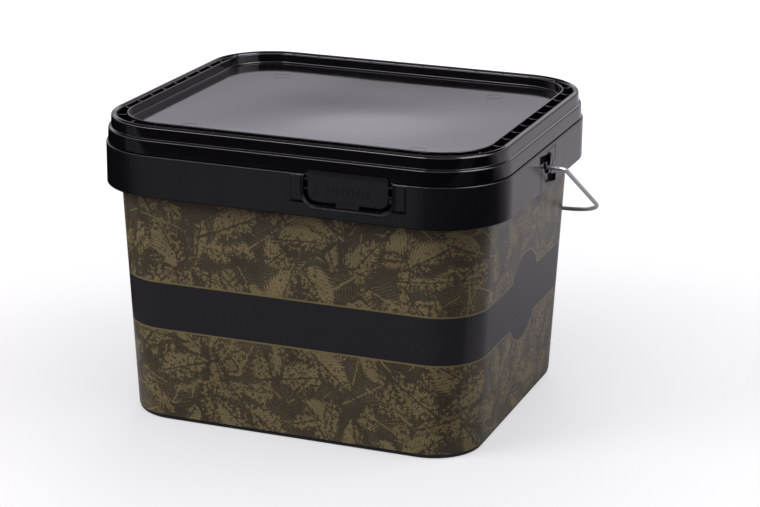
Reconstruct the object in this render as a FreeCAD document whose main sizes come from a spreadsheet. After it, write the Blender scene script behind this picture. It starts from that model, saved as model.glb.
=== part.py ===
import FreeCAD, Part
import math
import os
import Sketcher

# A square-shouldered bait bucket: a tapered tub with a printed wrap, a press-on lid with a ribbed gutter,
# a tear-open flap in the collar, and a wire bail with a roller grip.
# Millimetres. +X runs along the long side, +Y to the back, +Z up. The origin is under the middle of the tub.

SIZES = {
    # tub wall, floor and foot
    "base_length": 261.6,
    "base_width": 227.6,
    "base_corner": 36.0,
    "wall_taper": 0.04,
    "wall_thickness": 2.0,
    "floor_thickness": 2.4,
    "foot_height": 3.0,
    "foot_width": 9.0,
    "foot_break": 2.0,
    # collar, deck and the standing rim that the lid grips
    "collar_overhang": 12.36,
    "collar_corner": 53.0,
    "collar_bottom": 171.0,
    "collar_height": 30.0,
    "collar_thickness": 2.2,
    "collar_break": 0.6,
    "deck_thickness": 2.4,
    "rim_inset": 5.4,
    "rim_height": 18.5,
    "rim_thickness": 1.4,
    "bead_depth": 0.9,
    "bead_height": 2.0,
    "bead_rise": 5.5,
    # lid
    "lid_fit": 0.3,
    "lid_wall": 1.6,
    "lid_roof": 1.6,
    "band_inset": 1.2,
    "band_gap": 0.4,
    "shoulder_rise": 11.0,
    "plug_wall": 1.3,
    "gutter_width": 6.8,
    "gutter_depth": 15.0,
    "gutter_floor": 1.4,
    "inner_ridge": 1.2,
    "panel_depth": 7.0,
    "panel_thickness": 1.6,
    "ridge_round": 1.2,
    "shoulder_round": 1.5,
    "edge_break": 0.4,
    "rib_thickness": 1.0,
    "rib_bite": 0.4,
    "rib_drop": 1.6,
    "rib_arch": 6.0,
    "ribs_long_side": 8,
    "ribs_short_side": 7,
    "ribs_corner": 4,
    # bail ears in the collar's short sides
    "pivot_rise": 15.0,
    "ear_dish": 11.0,
    "ear_dish_depth": 1.2,
    "ear_seat": 7.5,
    "ear_seat_shift": 2.2,
    "ear_sink": 4.2,
    "ear_sink_depth": 1.2,
    "ear_boss": 5.0,
    "ear_boss_length": 4.8,
    "ear_window_height": 5.5,
    "ear_high_width": 28.0,
    "ear_high_shift": -7.0,
    "ear_high_land": 0.8,
    "ear_low_width": 21.0,
    "ear_low_shift": 15.5,
    # tear-open flap in the front of the collar
    "flap_middle": 50.8,
    "flap_width": 58.2,
    "flap_height": 19.7,
    "flap_rise": 1.3,
    "flap_thickness": 1.6,
    "flap_corner": 6.0,
    "flap_break": 0.8,
    "flap_slot": 2.8,
    "flap_clear": 0.3,
    "flap_frame": 1.4,
    "flap_frame_proud": 0.8,
    "hinge_width": 16.6,
    "hinge_thickness": 0.8,
    "bridge_height": 1.2,
    "bridge_low": 8.3,
    "bridge_high": 14.8,
    "scoop_width": 8.0,
    "scoop_height": 19.0,
    "scoop_depth": 1.2,
    "scoop_corner": 2.7,
    # wire bail
    "wire": 3.2,
    "pin_clear": 0.05,
    "head": 5.6,
    "head_length": 1.4,
    "bend_stand": 5.8,
    "bend_radius": 6.6,
    "arm_stand": 9.3,
    "corner_radius": 33.0,
    "swing_clear": 1.8,
    # roller grip
    "grip": 16.0,
    "grip_length": 96.0,
    "grip_flange": 4.0,
    "grip_waist": 13.4,
    "grip_clear": 0.3,
    # printed wrap
    "wrap_thickness": 0.3,
    "wrap_gap": 0.1,
    "wrap_bottom": 3.4,
    "wrap_tuck": 6.0,
    # how far a cut runs past the face that it opens
    "cut_over": 1.0,
}

doc = FreeCAD.newDocument("bait_bucket")
sizes = doc.addObject("Spreadsheet::Sheet", "sizes")
for row, (alias, number) in enumerate(SIZES.items(), start=1):
    sizes.set(f"A{row}", alias)
    sizes.set(f"B{row}", str(number))
    sizes.setAlias(f"B{row}", alias)
doc.recompute()

# Heights and insets that follow from the driving dimensions, as expressions over the sheet.
# An inset is measured inwards from the collar's outer outline.
COLLAR_GROWTH = "(sizes.wall_taper * sizes.collar_bottom + sizes.collar_overhang)"
COLLAR_LENGTH = f"(sizes.base_length + 2 * {COLLAR_GROWTH})"
COLLAR_WIDTH = f"(sizes.base_width + 2 * {COLLAR_GROWTH})"
DECK_TOP = "(sizes.collar_bottom + sizes.collar_height)"
DECK_BOTTOM = f"({DECK_TOP} - sizes.deck_thickness)"
FLOOR_TOP = "(sizes.foot_height + sizes.floor_thickness)"
PIVOT = "(sizes.collar_bottom + sizes.pivot_rise)"
BEAD_BOTTOM = f"({DECK_TOP} + sizes.bead_rise)"
LID_TOP = f"({DECK_TOP} + sizes.rim_height + sizes.lid_roof)"
BAND_BOTTOM = f"({DECK_TOP} + sizes.band_gap)"
SHOULDER = f"({DECK_TOP} + sizes.shoulder_rise)"
BAND_INNER = "(sizes.band_inset + sizes.lid_wall)"
UPPER_INNER = "(sizes.rim_inset - sizes.lid_fit)"
UPPER_OUTER = f"({UPPER_INNER} - sizes.lid_wall)"
PLUG_OUTER = "(sizes.rim_inset + sizes.rim_thickness + sizes.lid_fit)"
PLUG_INNER = f"({PLUG_OUTER} + sizes.plug_wall)"
GUTTER_INNER = f"({PLUG_INNER} + sizes.gutter_width)"
PANEL_EDGE = f"({GUTTER_INNER} + sizes.inner_ridge)"
FLAP_TOP = f"({DECK_TOP} + sizes.flap_rise)"
FLAP_BOTTOM = f"({FLAP_TOP} - sizes.flap_height)"
OPENING_BOTTOM = f"({FLAP_BOTTOM} - sizes.flap_slot)"
FLAP_INNER_FACE = f"({COLLAR_WIDTH} / 2 - sizes.band_inset + sizes.flap_clear)"
PIN_END = (f"({COLLAR_LENGTH} / 2 - sizes.collar_thickness - sizes.ear_boss_length"
           " - sizes.grip_clear)")
LID_REACH = (f"sqrt(({COLLAR_WIDTH} / 2 - {UPPER_OUTER})^2"
             f" + ({LID_TOP} - {PIVOT})^2)")
BAIL_REACH = f"({LID_REACH} + sizes.grip / 2 + sizes.swing_clear)"
WALL_AT_PIVOT = f"(sizes.base_width / 2 + sizes.wall_taper * {PIVOT})"
GRIP_TO_WALL = "(sizes.grip / 2 + sizes.wrap_gap + sizes.wrap_thickness + sizes.grip_clear)"
REST_ANGLE = (f"(atan(sizes.wall_taper) + acos(({WALL_AT_PIVOT} / sqrt(1 + sizes.wall_taper^2)"
              f" + {GRIP_TO_WALL}) / {BAIL_REACH}))")


def value(expression):
    """The number that an expression over the sheet gives now."""
    return float(sizes.evalExpression(expression))


def collar_outline(inset="0"):
    """Length, width and corner radius of the collar's outline, moved inwards."""
    return (f"{COLLAR_LENGTH} - 2 * {inset}",
            f"{COLLAR_WIDTH} - 2 * {inset}",
            f"sizes.collar_corner - {inset}")


def wall_outline(height, outwards="0"):
    """Length, width and corner radius of the tapered wall's outer face at a height, moved outwards."""
    grow = f"({height} * sizes.wall_taper + {outwards})"
    return (f"sizes.base_length + 2 * {grow}",
            f"sizes.base_width + 2 * {grow}",
            f"sizes.base_corner + {outwards}")


def new_body(label):
    """An empty body whose label names its file."""
    body = doc.addObject("PartDesign::Body", label)
    body.Label = label
    return body


def origin_plane(body, role):
    """One of the body's own three planes."""
    return next(item for item in body.Origin.OriginFeatures if item.Role == role)


def new_sketch(body, name, offset="0", role="XY_Plane"):
    """A sketch on one of the body's planes, moved along the plane's normal."""
    sketch = body.newObject("Sketcher::SketchObject", f"{body.Name}_{name}")
    sketch.AttachmentSupport = (origin_plane(body, role), "")
    sketch.MapMode = "FlatFace"
    sketch.setExpression("AttachmentOffset.Base.z", offset)
    return sketch


def bind(sketch, constraint, name, expression):
    """Adds a dimension to a sketch and ties it to an expression."""
    index = sketch.addConstraint(constraint)
    sketch.renameConstraint(index, name)
    sketch.setExpression(f"Constraints.{name}", expression)


def place(sketch, item, end, across, upwards, tag):
    """Ties one point of a sketch item to a pair of expressions, from the sketch's origin."""
    for kind, expression in (("DistanceX", across), ("DistanceY", upwards)):
        if expression is not None:
            fixed = Sketcher.Constraint(kind, -1, 1, item, end, value(expression))
            bind(sketch, fixed, f"{tag}_{kind}", expression)


def arc(centre, radius, start, end):
    """A circular arc in the sketch plane, turning left from one angle to the other, in degrees."""
    circle = Part.Circle(FreeCAD.Vector(*centre), FreeCAD.Vector(0, 0, 1), radius)
    return Part.ArcOfCircle(circle, math.radians(start), math.radians(end))


def line(start, end):
    """A straight sketch line between two points."""
    return Part.LineSegment(FreeCAD.Vector(*start), FreeCAD.Vector(*end))


def add_outline(sketch, outline, tag):
    """A rounded rectangle about the sketch's origin, tied to the expressions of an outline."""
    length, width, corner = (value(expression) for expression in outline)
    far_x, far_y = length / 2, width / 2
    near_x, near_y = far_x - corner, far_y - corner
    first = sketch.GeometryCount
    sketch.addGeometry([
        line((-near_x, -far_y), (near_x, -far_y)),
        arc((near_x, -near_y), corner, 270, 360),
        line((far_x, -near_y), (far_x, near_y)),
        arc((near_x, near_y), corner, 0, 90),
        line((near_x, far_y), (-near_x, far_y)),
        arc((-near_x, near_y), corner, 90, 180),
        line((-far_x, near_y), (-far_x, -near_y)),
        arc((-near_x, -near_y), corner, 180, 270),
    ])
    bottom, right, top, left = first, first + 2, first + 4, first + 6
    corners = [first + 1, first + 3, first + 5, first + 7]
    for step in range(8):
        sketch.addConstraint(Sketcher.Constraint("Tangent", first + step, 2, first + (step + 1) % 8, 1))
    for item in (bottom, top):
        sketch.addConstraint(Sketcher.Constraint("Horizontal", item))
    for item in (right, left):
        sketch.addConstraint(Sketcher.Constraint("Vertical", item))
    for item in corners[1:]:
        sketch.addConstraint(Sketcher.Constraint("Equal", corners[0], item))
    sketch.addConstraint(Sketcher.Constraint("Symmetric", corners[0], 3, corners[2], 3, -1, 1))
    bind(sketch, Sketcher.Constraint("DistanceX", left, 1, right, 1, length), f"{tag}_length", outline[0])
    bind(sketch, Sketcher.Constraint("DistanceY", bottom, 1, top, 1, width), f"{tag}_width", outline[1])
    bind(sketch, Sketcher.Constraint("Radius", corners[0], corner), f"{tag}_corner", outline[2])


def add_polygon(sketch, points, tag):
    """Straight lines through points that are pairs of expressions."""
    spots = [(value(across), value(upwards)) for across, upwards in points]
    first = sketch.GeometryCount
    count = len(spots)
    sketch.addGeometry([line(spots[k], spots[(k + 1) % count]) for k in range(count)])
    for k, (across, upwards) in enumerate(points):
        sketch.addConstraint(Sketcher.Constraint("Coincident", first + k, 2, first + (k + 1) % count, 1))
        place(sketch, first + k, 1, across, upwards, f"{tag}_{k}")


def add_circle(sketch, radius, centre, tag):
    """A circle tied to a radius and a centre, all expressions."""
    middle = (value(centre[0]), value(centre[1]))
    item = sketch.addGeometry(Part.Circle(FreeCAD.Vector(*middle), FreeCAD.Vector(0, 0, 1), value(radius)))
    bind(sketch, Sketcher.Constraint("Radius", item, value(radius)), f"{tag}_radius", radius)
    place(sketch, item, 3, centre[0], centre[1], tag)


def add_tongue(sketch, left, right, bottom, top, corner, tag):
    """A rectangle whose two lower corners are round, tied to expressions for its sides."""
    west, east, south, north, bend = (value(side) for side in (left, right, bottom, top, corner))
    first = sketch.GeometryCount
    sketch.addGeometry([
        line((west, north), (west, south + bend)),
        arc((west + bend, south + bend), bend, 180, 270),
        line((west + bend, south), (east - bend, south)),
        arc((east - bend, south + bend), bend, 270, 360),
        line((east, south + bend), (east, north)),
        line((east, north), (west, north)),
    ])
    for step in range(4):
        sketch.addConstraint(Sketcher.Constraint("Tangent", first + step, 2, first + step + 1, 1))
    sketch.addConstraint(Sketcher.Constraint("Coincident", first + 4, 2, first + 5, 1))
    sketch.addConstraint(Sketcher.Constraint("Coincident", first + 5, 2, first, 1))
    for item in (first, first + 4):
        sketch.addConstraint(Sketcher.Constraint("Vertical", item))
    for item in (first + 2, first + 5):
        sketch.addConstraint(Sketcher.Constraint("Horizontal", item))
    sketch.addConstraint(Sketcher.Constraint("Equal", first + 1, first + 3))
    bind(sketch, Sketcher.Constraint("Radius", first + 1, bend), f"{tag}_corner", corner)
    place(sketch, first, 1, left, top, f"{tag}_start")
    place(sketch, first + 4, 2, right, None, f"{tag}_end")
    place(sketch, first + 2, 1, None, bottom, f"{tag}_foot")


def extrude(body, kind, sketch, length, reverse=False, midplane=False):
    """A pad or a pocket of a sketch, tied to a length."""
    feature = body.newObject(f"PartDesign::{kind}", f"{sketch.Name}_{kind}")
    feature.Profile = sketch
    feature.setExpression("Length", length)
    feature.Reversed = reverse
    feature.Midplane = midplane
    doc.recompute()
    return feature


def ring(body, kind, name, height, outer, inner, length, reverse=False):
    """A pad or a pocket between two outlines, or of all within the outer one."""
    sketch = new_sketch(body, name, height)
    add_outline(sketch, outer, "outer")
    if inner is not None:
        add_outline(sketch, inner, "inner")
    return extrude(body, kind, sketch, length, reverse)


def loft(body, kind, name, low_height, low, high_height, high):
    """A straight-sided loft between outlines at two heights, added or taken away."""
    lower = new_sketch(body, f"{name}_low", low_height)
    add_outline(lower, low, "low")
    upper = new_sketch(body, f"{name}_high", high_height)
    add_outline(upper, high, "high")
    feature = body.newObject(f"PartDesign::{kind}", f"{body.Name}_{name}")
    feature.Profile = lower
    feature.Sections = [upper]
    feature.Ruled = True
    doc.recompute()
    return feature


# An edge lies on an outline if none of the points along it is further away than this.
ON_OUTLINE = 0.01
POINTS_PER_EDGE = 5


def outline_edges(shape, outline, height):
    """Names of a shape's edges that lie on an outline at a height."""
    length, width, corner = (value(expression) for expression in outline)
    level = value(height)
    names = []
    for number, edge in enumerate(shape.Edges, start=1):
        on_outline = True
        for spot in edge.discretize(POINTS_PER_EDGE):
            over_x = abs(spot.x) - (length / 2 - corner)
            over_y = abs(spot.y) - (width / 2 - corner)
            away = math.hypot(max(over_x, 0), max(over_y, 0)) + min(max(over_x, over_y), 0) - corner
            if abs(away) > ON_OUTLINE or abs(spot.z - level) > ON_OUTLINE:
                on_outline = False
        if on_outline:
            names.append(f"Edge{number}")
    return names


def soften(body, kind, name, size, places):
    """Rounds or chamfers the edges of the body's last feature that lie on outlines at heights."""
    base = body.Tip
    names = []
    for outline, height in places:
        names += outline_edges(base.Shape, outline, height)
    feature = body.newObject(f"PartDesign::{kind}", f"{body.Name}_{name}")
    feature.Base = (base, names)
    feature.setExpression("Radius" if kind == "Fillet" else "Size", size)
    doc.recompute()
    return feature


def mirrored(body, name, originals, role):
    """Copies features to the other side of one of the body's planes."""
    feature = body.newObject("PartDesign::Mirrored", f"{body.Name}_{name}")
    feature.Originals = originals
    feature.MirrorPlane = (origin_plane(body, role), [""])
    body.Tip = feature
    doc.recompute()
    return feature


def make_tub():
    """Tapered tub with its foot, deck, collar skirt, standing rim, bail ears and flap opening."""
    body = new_body("tub")
    loft(body, "AdditiveLoft", "wall", "sizes.foot_break", wall_outline("sizes.foot_break"),
         DECK_TOP, wall_outline(DECK_TOP))
    loft(body, "AdditiveLoft", "foot_break", "0", wall_outline("0", "-sizes.foot_break"),
         "sizes.foot_break", wall_outline("sizes.foot_break"))
    ring(body, "Pad", "deck", DECK_BOTTOM, collar_outline(), None, "sizes.deck_thickness")
    ring(body, "Pad", "skirt", "sizes.collar_bottom", collar_outline(),
         collar_outline("sizes.collar_thickness"), "sizes.collar_height")
    rim_outer = collar_outline("sizes.rim_inset")
    rim_inner = collar_outline("(sizes.rim_inset + sizes.rim_thickness)")
    ring(body, "Pad", "rim", DECK_TOP, rim_outer, rim_inner, "sizes.rim_height")
    bead_outer = collar_outline("(sizes.rim_inset - sizes.bead_depth)")
    ring(body, "Pad", "bead", BEAD_BOTTOM, bead_outer, rim_inner, "sizes.bead_height")
    inside = "-sizes.wall_thickness"
    loft(body, "SubtractiveLoft", "inside", FLOOR_TOP, wall_outline(FLOOR_TOP, inside),
         DECK_TOP, wall_outline(DECK_TOP, inside))
    ring(body, "Pocket", "foot", "0", wall_outline("0", "-sizes.foot_width"), None,
         "sizes.foot_height", reverse=True)
    soften(body, "Chamfer", "collar_break", "sizes.collar_break",
           [(collar_outline(), "sizes.collar_bottom"), (collar_outline(), DECK_TOP)])
    cut_ears(body)
    cut_flap_opening(body)
    return body


def cut_ears(body):
    """A dished ear with a seat, a boss, a wire hole and two windows, in each short side of the collar."""
    face = f"{COLLAR_LENGTH} / 2"
    boss_face = f"{face} - sizes.collar_thickness - sizes.ear_boss_length"
    centre = ("0", PIVOT)

    boss = new_sketch(body, "ear_boss", boss_face, "YZ_Plane")
    add_circle(boss, "sizes.ear_boss", centre, "boss")
    boss_pad = extrude(body, "Pad", boss, "sizes.ear_boss_length")

    dish = new_sketch(body, "ear_dish", face, "YZ_Plane")
    add_circle(dish, "sizes.ear_dish", centre, "dish")
    dish_cut = extrude(body, "Pocket", dish, "sizes.ear_dish_depth")

    # The seat stands off the dish's centre, so the dish is left as a crescent below the wire.
    seat = new_sketch(body, "ear_seat", f"{face} - sizes.ear_dish_depth", "YZ_Plane")
    seat_centre = ("sizes.ear_seat_shift", f"({PIVOT} + sizes.ear_seat_shift)")
    add_circle(seat, "sizes.ear_seat", seat_centre, "seat")
    seat_pad = extrude(body, "Pad", seat, "sizes.ear_dish_depth")

    sink = new_sketch(body, "ear_sink", face, "YZ_Plane")
    add_circle(sink, "sizes.ear_sink", centre, "sink")
    sink_cut = extrude(body, "Pocket", sink, "sizes.ear_sink_depth")

    windows = new_sketch(body, "ear_windows", face, "YZ_Plane")
    low_bottom = "(sizes.collar_bottom - sizes.cut_over)"
    low_top = "(sizes.collar_bottom + sizes.ear_window_height)"
    high_top = f"({DECK_BOTTOM} - sizes.ear_high_land)"
    high_bottom = f"({high_top} - sizes.ear_window_height)"
    for tag, bottom, top in (("high", high_bottom, high_top), ("low", low_bottom, low_top)):
        left = f"(sizes.ear_{tag}_shift - sizes.ear_{tag}_width / 2)"
        right = f"(sizes.ear_{tag}_shift + sizes.ear_{tag}_width / 2)"
        add_polygon(windows, [(left, bottom), (right, bottom), (right, top), (left, top)], tag)
    window_cut = extrude(body, "Pocket", windows, "sizes.collar_thickness")

    hole = new_sketch(body, "ear_hole", face, "YZ_Plane")
    add_circle(hole, "sizes.wire / 2 + sizes.pin_clear", centre, "hole")
    hole_cut = extrude(body, "Pocket", hole, "sizes.collar_thickness + sizes.ear_boss_length")
    mirrored(body, "ears", [boss_pad, dish_cut, seat_pad, sink_cut, window_cut, hole_cut], "YZ_Plane")


def cut_flap_opening(body):
    """The framed opening that the flap closes, and a finger scoop at each side of it."""
    face = f"{COLLAR_WIDTH} / 2"
    half = "(sizes.flap_width / 2 + sizes.flap_slot)"
    left = f"(sizes.flap_middle - {half})"
    right = f"(sizes.flap_middle + {half})"
    corner = "(sizes.flap_corner + sizes.flap_slot)"
    rim = "sizes.flap_frame"
    frame = new_sketch(body, "flap_frame", face, "XZ_Plane")
    add_tongue(frame, f"({left} - {rim})", f"({right} + {rim})", f"({OPENING_BOTTOM} - {rim})",
               f"({DECK_TOP} - sizes.collar_break)", f"({corner} + {rim})", "frame")
    extrude(body, "Pad", frame, "sizes.flap_frame_proud")

    scoops = new_sketch(body, "flap_scoops", face, "XZ_Plane")
    scoop_top = f"({DECK_TOP} - sizes.collar_break)"
    scoop_bottom = f"({scoop_top} - sizes.scoop_height)"
    outer_left = f"({left} - {rim} - sizes.scoop_width)"
    outer_right = f"({right} + {rim} + sizes.scoop_width)"
    bend = "sizes.scoop_corner"
    add_tongue(scoops, outer_left, f"({left} - {rim})", scoop_bottom, scoop_top, bend, "left")
    add_tongue(scoops, f"({right} + {rim})", outer_right, scoop_bottom, scoop_top, bend, "right")
    extrude(body, "Pocket", scoops, "sizes.scoop_depth")

    opening = new_sketch(body, "flap_opening", f"{face} + sizes.flap_frame_proud", "XZ_Plane")
    add_tongue(opening, left, right, OPENING_BOTTOM, f"({DECK_TOP} + sizes.cut_over)", corner, "opening")
    extrude(body, "Pocket", opening, "sizes.flap_frame_proud + sizes.collar_thickness")


def make_wrap():
    """Printed film round the wall, from just above the foot to a little way under the collar."""
    body = new_body("label_wrap")
    bottom = "sizes.wrap_bottom"
    top = "(sizes.collar_bottom + sizes.wrap_tuck)"
    under = "(sizes.wrap_bottom - sizes.cut_over)"
    over = f"({top} + sizes.cut_over)"
    outer = "sizes.wrap_gap + sizes.wrap_thickness"
    loft(body, "AdditiveLoft", "film", bottom, wall_outline(bottom, outer), top, wall_outline(top, outer))
    loft(body, "SubtractiveLoft", "bore", under, wall_outline(under, "sizes.wrap_gap"),
         over, wall_outline(over, "sizes.wrap_gap"))
    return body


def make_lid():
    """Lid with a lower band, a shoulder, a hollow ridge over the rim, a ribbed gutter and a sunken panel."""
    body = new_body("lid")
    height_above = f"({LID_TOP} - {SHOULDER})"
    band_height = f"({SHOULDER} - {BAND_BOTTOM})"
    band = collar_outline("sizes.band_inset")
    upper = collar_outline(UPPER_OUTER)
    plug = collar_outline(PLUG_OUTER)
    gutter_outer = collar_outline(PLUG_INNER)
    gutter_inner = collar_outline(GUTTER_INNER)
    panel = collar_outline(PANEL_EDGE)
    panel_top = f"({LID_TOP} - sizes.panel_depth)"

    ring(body, "Pad", "band", BAND_BOTTOM, band, None, band_height)
    ring(body, "Pad", "upper", SHOULDER, upper, None, height_above)
    ring(body, "Pocket", "gutter", LID_TOP, gutter_outer, gutter_inner, "sizes.gutter_depth")
    ring(body, "Pocket", "panel", LID_TOP, panel, None, "sizes.panel_depth")
    soften(body, "Fillet", "shoulder_round", "sizes.shoulder_round", [(band, SHOULDER)])
    soften(body, "Fillet", "ridge_round", "sizes.ridge_round", [(upper, LID_TOP)])
    soften(body, "Chamfer", "edge_break", "sizes.edge_break",
           [(gutter_outer, LID_TOP), (gutter_inner, LID_TOP), (panel, LID_TOP), (band, BAND_BOTTOM)])

    ring(body, "Pocket", "band_hollow", BAND_BOTTOM, collar_outline(BAND_INNER), plug,
         f"{band_height} - sizes.lid_wall", reverse=True)
    ring(body, "Pocket", "ridge_hollow", BAND_BOTTOM, collar_outline(UPPER_INNER), plug,
         f"{LID_TOP} - sizes.lid_roof - {BAND_BOTTOM}", reverse=True)
    ring(body, "Pocket", "plug_foot", BAND_BOTTOM, plug, None,
         f"{LID_TOP} - sizes.gutter_depth - sizes.gutter_floor - {BAND_BOTTOM}", reverse=True)
    ring(body, "Pocket", "panel_under", BAND_BOTTOM, panel, None,
         f"{panel_top} - sizes.panel_thickness - {BAND_BOTTOM}", reverse=True)
    hook = "(sizes.rim_inset - sizes.bead_depth - sizes.lid_fit)"
    ring(body, "Pad", "hook_bead", f"({BEAD_BOTTOM} - sizes.bead_height - sizes.lid_fit)",
         collar_outline(f"({BAND_INNER} - sizes.lid_fit)"), collar_outline(hook), "sizes.bead_height")
    add_gutter_ribs(body)
    return body


def rib_profile(body, name, offset, role, side_half, outward):
    """Sketch of one gutter rib seen along the ridge: straight sides and a hollow top edge."""
    outer = f"({outward} * ({side_half} - {PLUG_INNER} + sizes.rib_bite))"
    inner = f"({outward} * ({side_half} - {GUTTER_INNER} - sizes.rib_bite))"
    left, right = sorted((outer, inner), key=value)
    bottom = f"({LID_TOP} - sizes.gutter_depth - sizes.rib_bite)"
    top = f"({LID_TOP} - sizes.rib_drop)"
    west, east, south, north, radius = (value(item) for item in (left, right, bottom, top, "sizes.rib_arch"))
    half = (east - west) / 2
    lean = math.degrees(math.acos(half / radius))
    middle = ((west + east) / 2, north + math.sqrt(radius**2 - half**2))
    sketch = new_sketch(body, name, offset, role)
    sketch.addGeometry([
        line((west, south), (east, south)),
        line((east, south), (east, north)),
        arc(middle, radius, 180 + lean, 360 - lean),
        line((west, north), (west, south)),
    ])
    for first, first_end, second, second_end in ((0, 2, 1, 1), (1, 2, 2, 2), (2, 1, 3, 1), (3, 2, 0, 1)):
        sketch.addConstraint(Sketcher.Constraint("Coincident", first, first_end, second, second_end))
    sketch.addConstraint(Sketcher.Constraint("Horizontal", 0))
    sketch.addConstraint(Sketcher.Constraint("Vertical", 1))
    sketch.addConstraint(Sketcher.Constraint("Vertical", 3))
    place(sketch, 0, 1, left, bottom, "foot")
    place(sketch, 1, 2, right, top, "right")
    place(sketch, 3, 1, None, top, "left")
    bind(sketch, Sketcher.Constraint("Radius", 2, radius), "arch", "sizes.rib_arch")
    return sketch


def pattern(body, name, original, repeats, mirror_roles):
    """Repeats a feature and mirrors the row across the body's planes."""
    feature = body.newObject("PartDesign::MultiTransform", f"{body.Name}_{name}")
    feature.Originals = [original]
    steps = [repeats]
    for role in mirror_roles:
        mirror = body.newObject("PartDesign::Mirrored", f"{body.Name}_{name}_{role}")
        mirror.MirrorPlane = (origin_plane(body, role), [""])
        steps.append(mirror)
    feature.Transformations = steps
    body.Tip = feature
    doc.recompute()
    return feature


def rib_row(body, name, role, span, side_half, outward, count, mirror_role):
    """A straight row of ribs on one side, and its copy on the other."""
    pitch = f"({span} / ({count} + 1))"
    first = f"-{pitch} * ({count} - 1) / 2"
    sketch = rib_profile(body, f"{name}_rib", first, role, side_half, outward)
    rib = extrude(body, "Pad", sketch, "sizes.rib_thickness", midplane=True)
    row = body.newObject("PartDesign::LinearPattern", f"{body.Name}_{name}_row")
    row.Direction = (sketch, ["N_Axis"])
    row.setExpression("Length", f"{pitch} * ({count} - 1)")
    row.setExpression("Occurrences", count)
    pattern(body, f"{name}_ribs", rib, row, [mirror_role])


def add_gutter_ribs(body):
    """Thin ribs across the gutter: a row along each side and a fan round each corner."""
    long_half = f"{COLLAR_WIDTH} / 2"
    short_half = f"{COLLAR_LENGTH} / 2"
    long_span = f"({COLLAR_LENGTH} - 2 * sizes.collar_corner)"
    short_span = f"({COLLAR_WIDTH} - 2 * sizes.collar_corner)"
    rib_row(body, "long", "YZ_Plane", long_span, long_half, "-1", "sizes.ribs_long_side", "XZ_Plane")
    rib_row(body, "short", "XZ_Plane", short_span, short_half, "1", "sizes.ribs_short_side", "YZ_Plane")

    axis = new_sketch(body, "corner_axis")
    axis.setExpression("AttachmentOffset.Base.x", f"{long_span} / 2")
    axis.setExpression("AttachmentOffset.Base.y", f"-{short_span} / 2")
    sketch = rib_profile(body, "corner_rib", f"{long_span} / 2", "YZ_Plane", long_half, "-1")
    rib = extrude(body, "Pad", sketch, "sizes.rib_thickness", midplane=True)
    fan = body.newObject("PartDesign::PolarPattern", "lid_corner_fan")
    fan.Axis = (axis, ["N_Axis"])
    fan.Angle = 90
    fan.setExpression("Occurrences", "sizes.ribs_corner")
    pattern(body, "corner_ribs", rib, fan, ["YZ_Plane", "XZ_Plane"])


def make_flap():
    """Tear-open flap: a plate, the thin tongue that it folds on and the stubs of its side bridges."""
    body = new_body("tamper_flap")
    left = "(sizes.flap_middle - sizes.flap_width / 2)"
    right = "(sizes.flap_middle + sizes.flap_width / 2)"
    plate = new_sketch(body, "plate", FLAP_INNER_FACE, "XZ_Plane")
    add_tongue(plate, left, right, FLAP_BOTTOM, FLAP_TOP, "sizes.flap_corner", "plate")
    plate_pad = extrude(body, "Pad", plate, "sizes.flap_thickness")
    outer_face = value(f"{FLAP_INNER_FACE} + sizes.flap_thickness")
    top_middle = FreeCAD.Vector(value("sizes.flap_middle"), -outer_face, value(FLAP_TOP))
    top_edge = [f"Edge{number}" for number, edge in enumerate(plate_pad.Shape.Edges, start=1)
                if edge.CenterOfMass.distanceToPoint(top_middle) < ON_OUTLINE]
    chamfer = body.newObject("PartDesign::Chamfer", "tamper_flap_break")
    chamfer.Base = (plate_pad, top_edge)
    chamfer.setExpression("Size", "sizes.flap_break")
    doc.recompute()

    thin_face = f"{FLAP_INNER_FACE} + sizes.flap_thickness - sizes.hinge_thickness"
    hinge = new_sketch(body, "hinge", thin_face, "XZ_Plane")
    hinge_left = "(sizes.flap_middle - sizes.hinge_width / 2)"
    hinge_right = "(sizes.flap_middle + sizes.hinge_width / 2)"
    hinge_bottom = f"({OPENING_BOTTOM} + sizes.flap_clear)"
    hinge_top = f"({FLAP_BOTTOM} + sizes.flap_clear)"
    add_polygon(hinge, [(hinge_left, hinge_bottom), (hinge_right, hinge_bottom),
                        (hinge_right, hinge_top), (hinge_left, hinge_top)], "tongue")
    stub = "(sizes.flap_slot - sizes.flap_clear)"
    for row in ("low", "high"):
        bottom = f"({FLAP_BOTTOM} + sizes.bridge_{row})"
        top = f"({bottom} + sizes.bridge_height)"
        for side, start, end in (("left", f"({left} - {stub})", f"({left} + sizes.flap_clear)"),
                                 ("right", f"({right} - sizes.flap_clear)", f"({right} + {stub})")):
            add_polygon(hinge, [(start, bottom), (end, bottom), (end, top), (start, top)], f"{row}_{side}")
    extrude(body, "Pad", hinge, "sizes.hinge_thickness")
    return body


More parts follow.
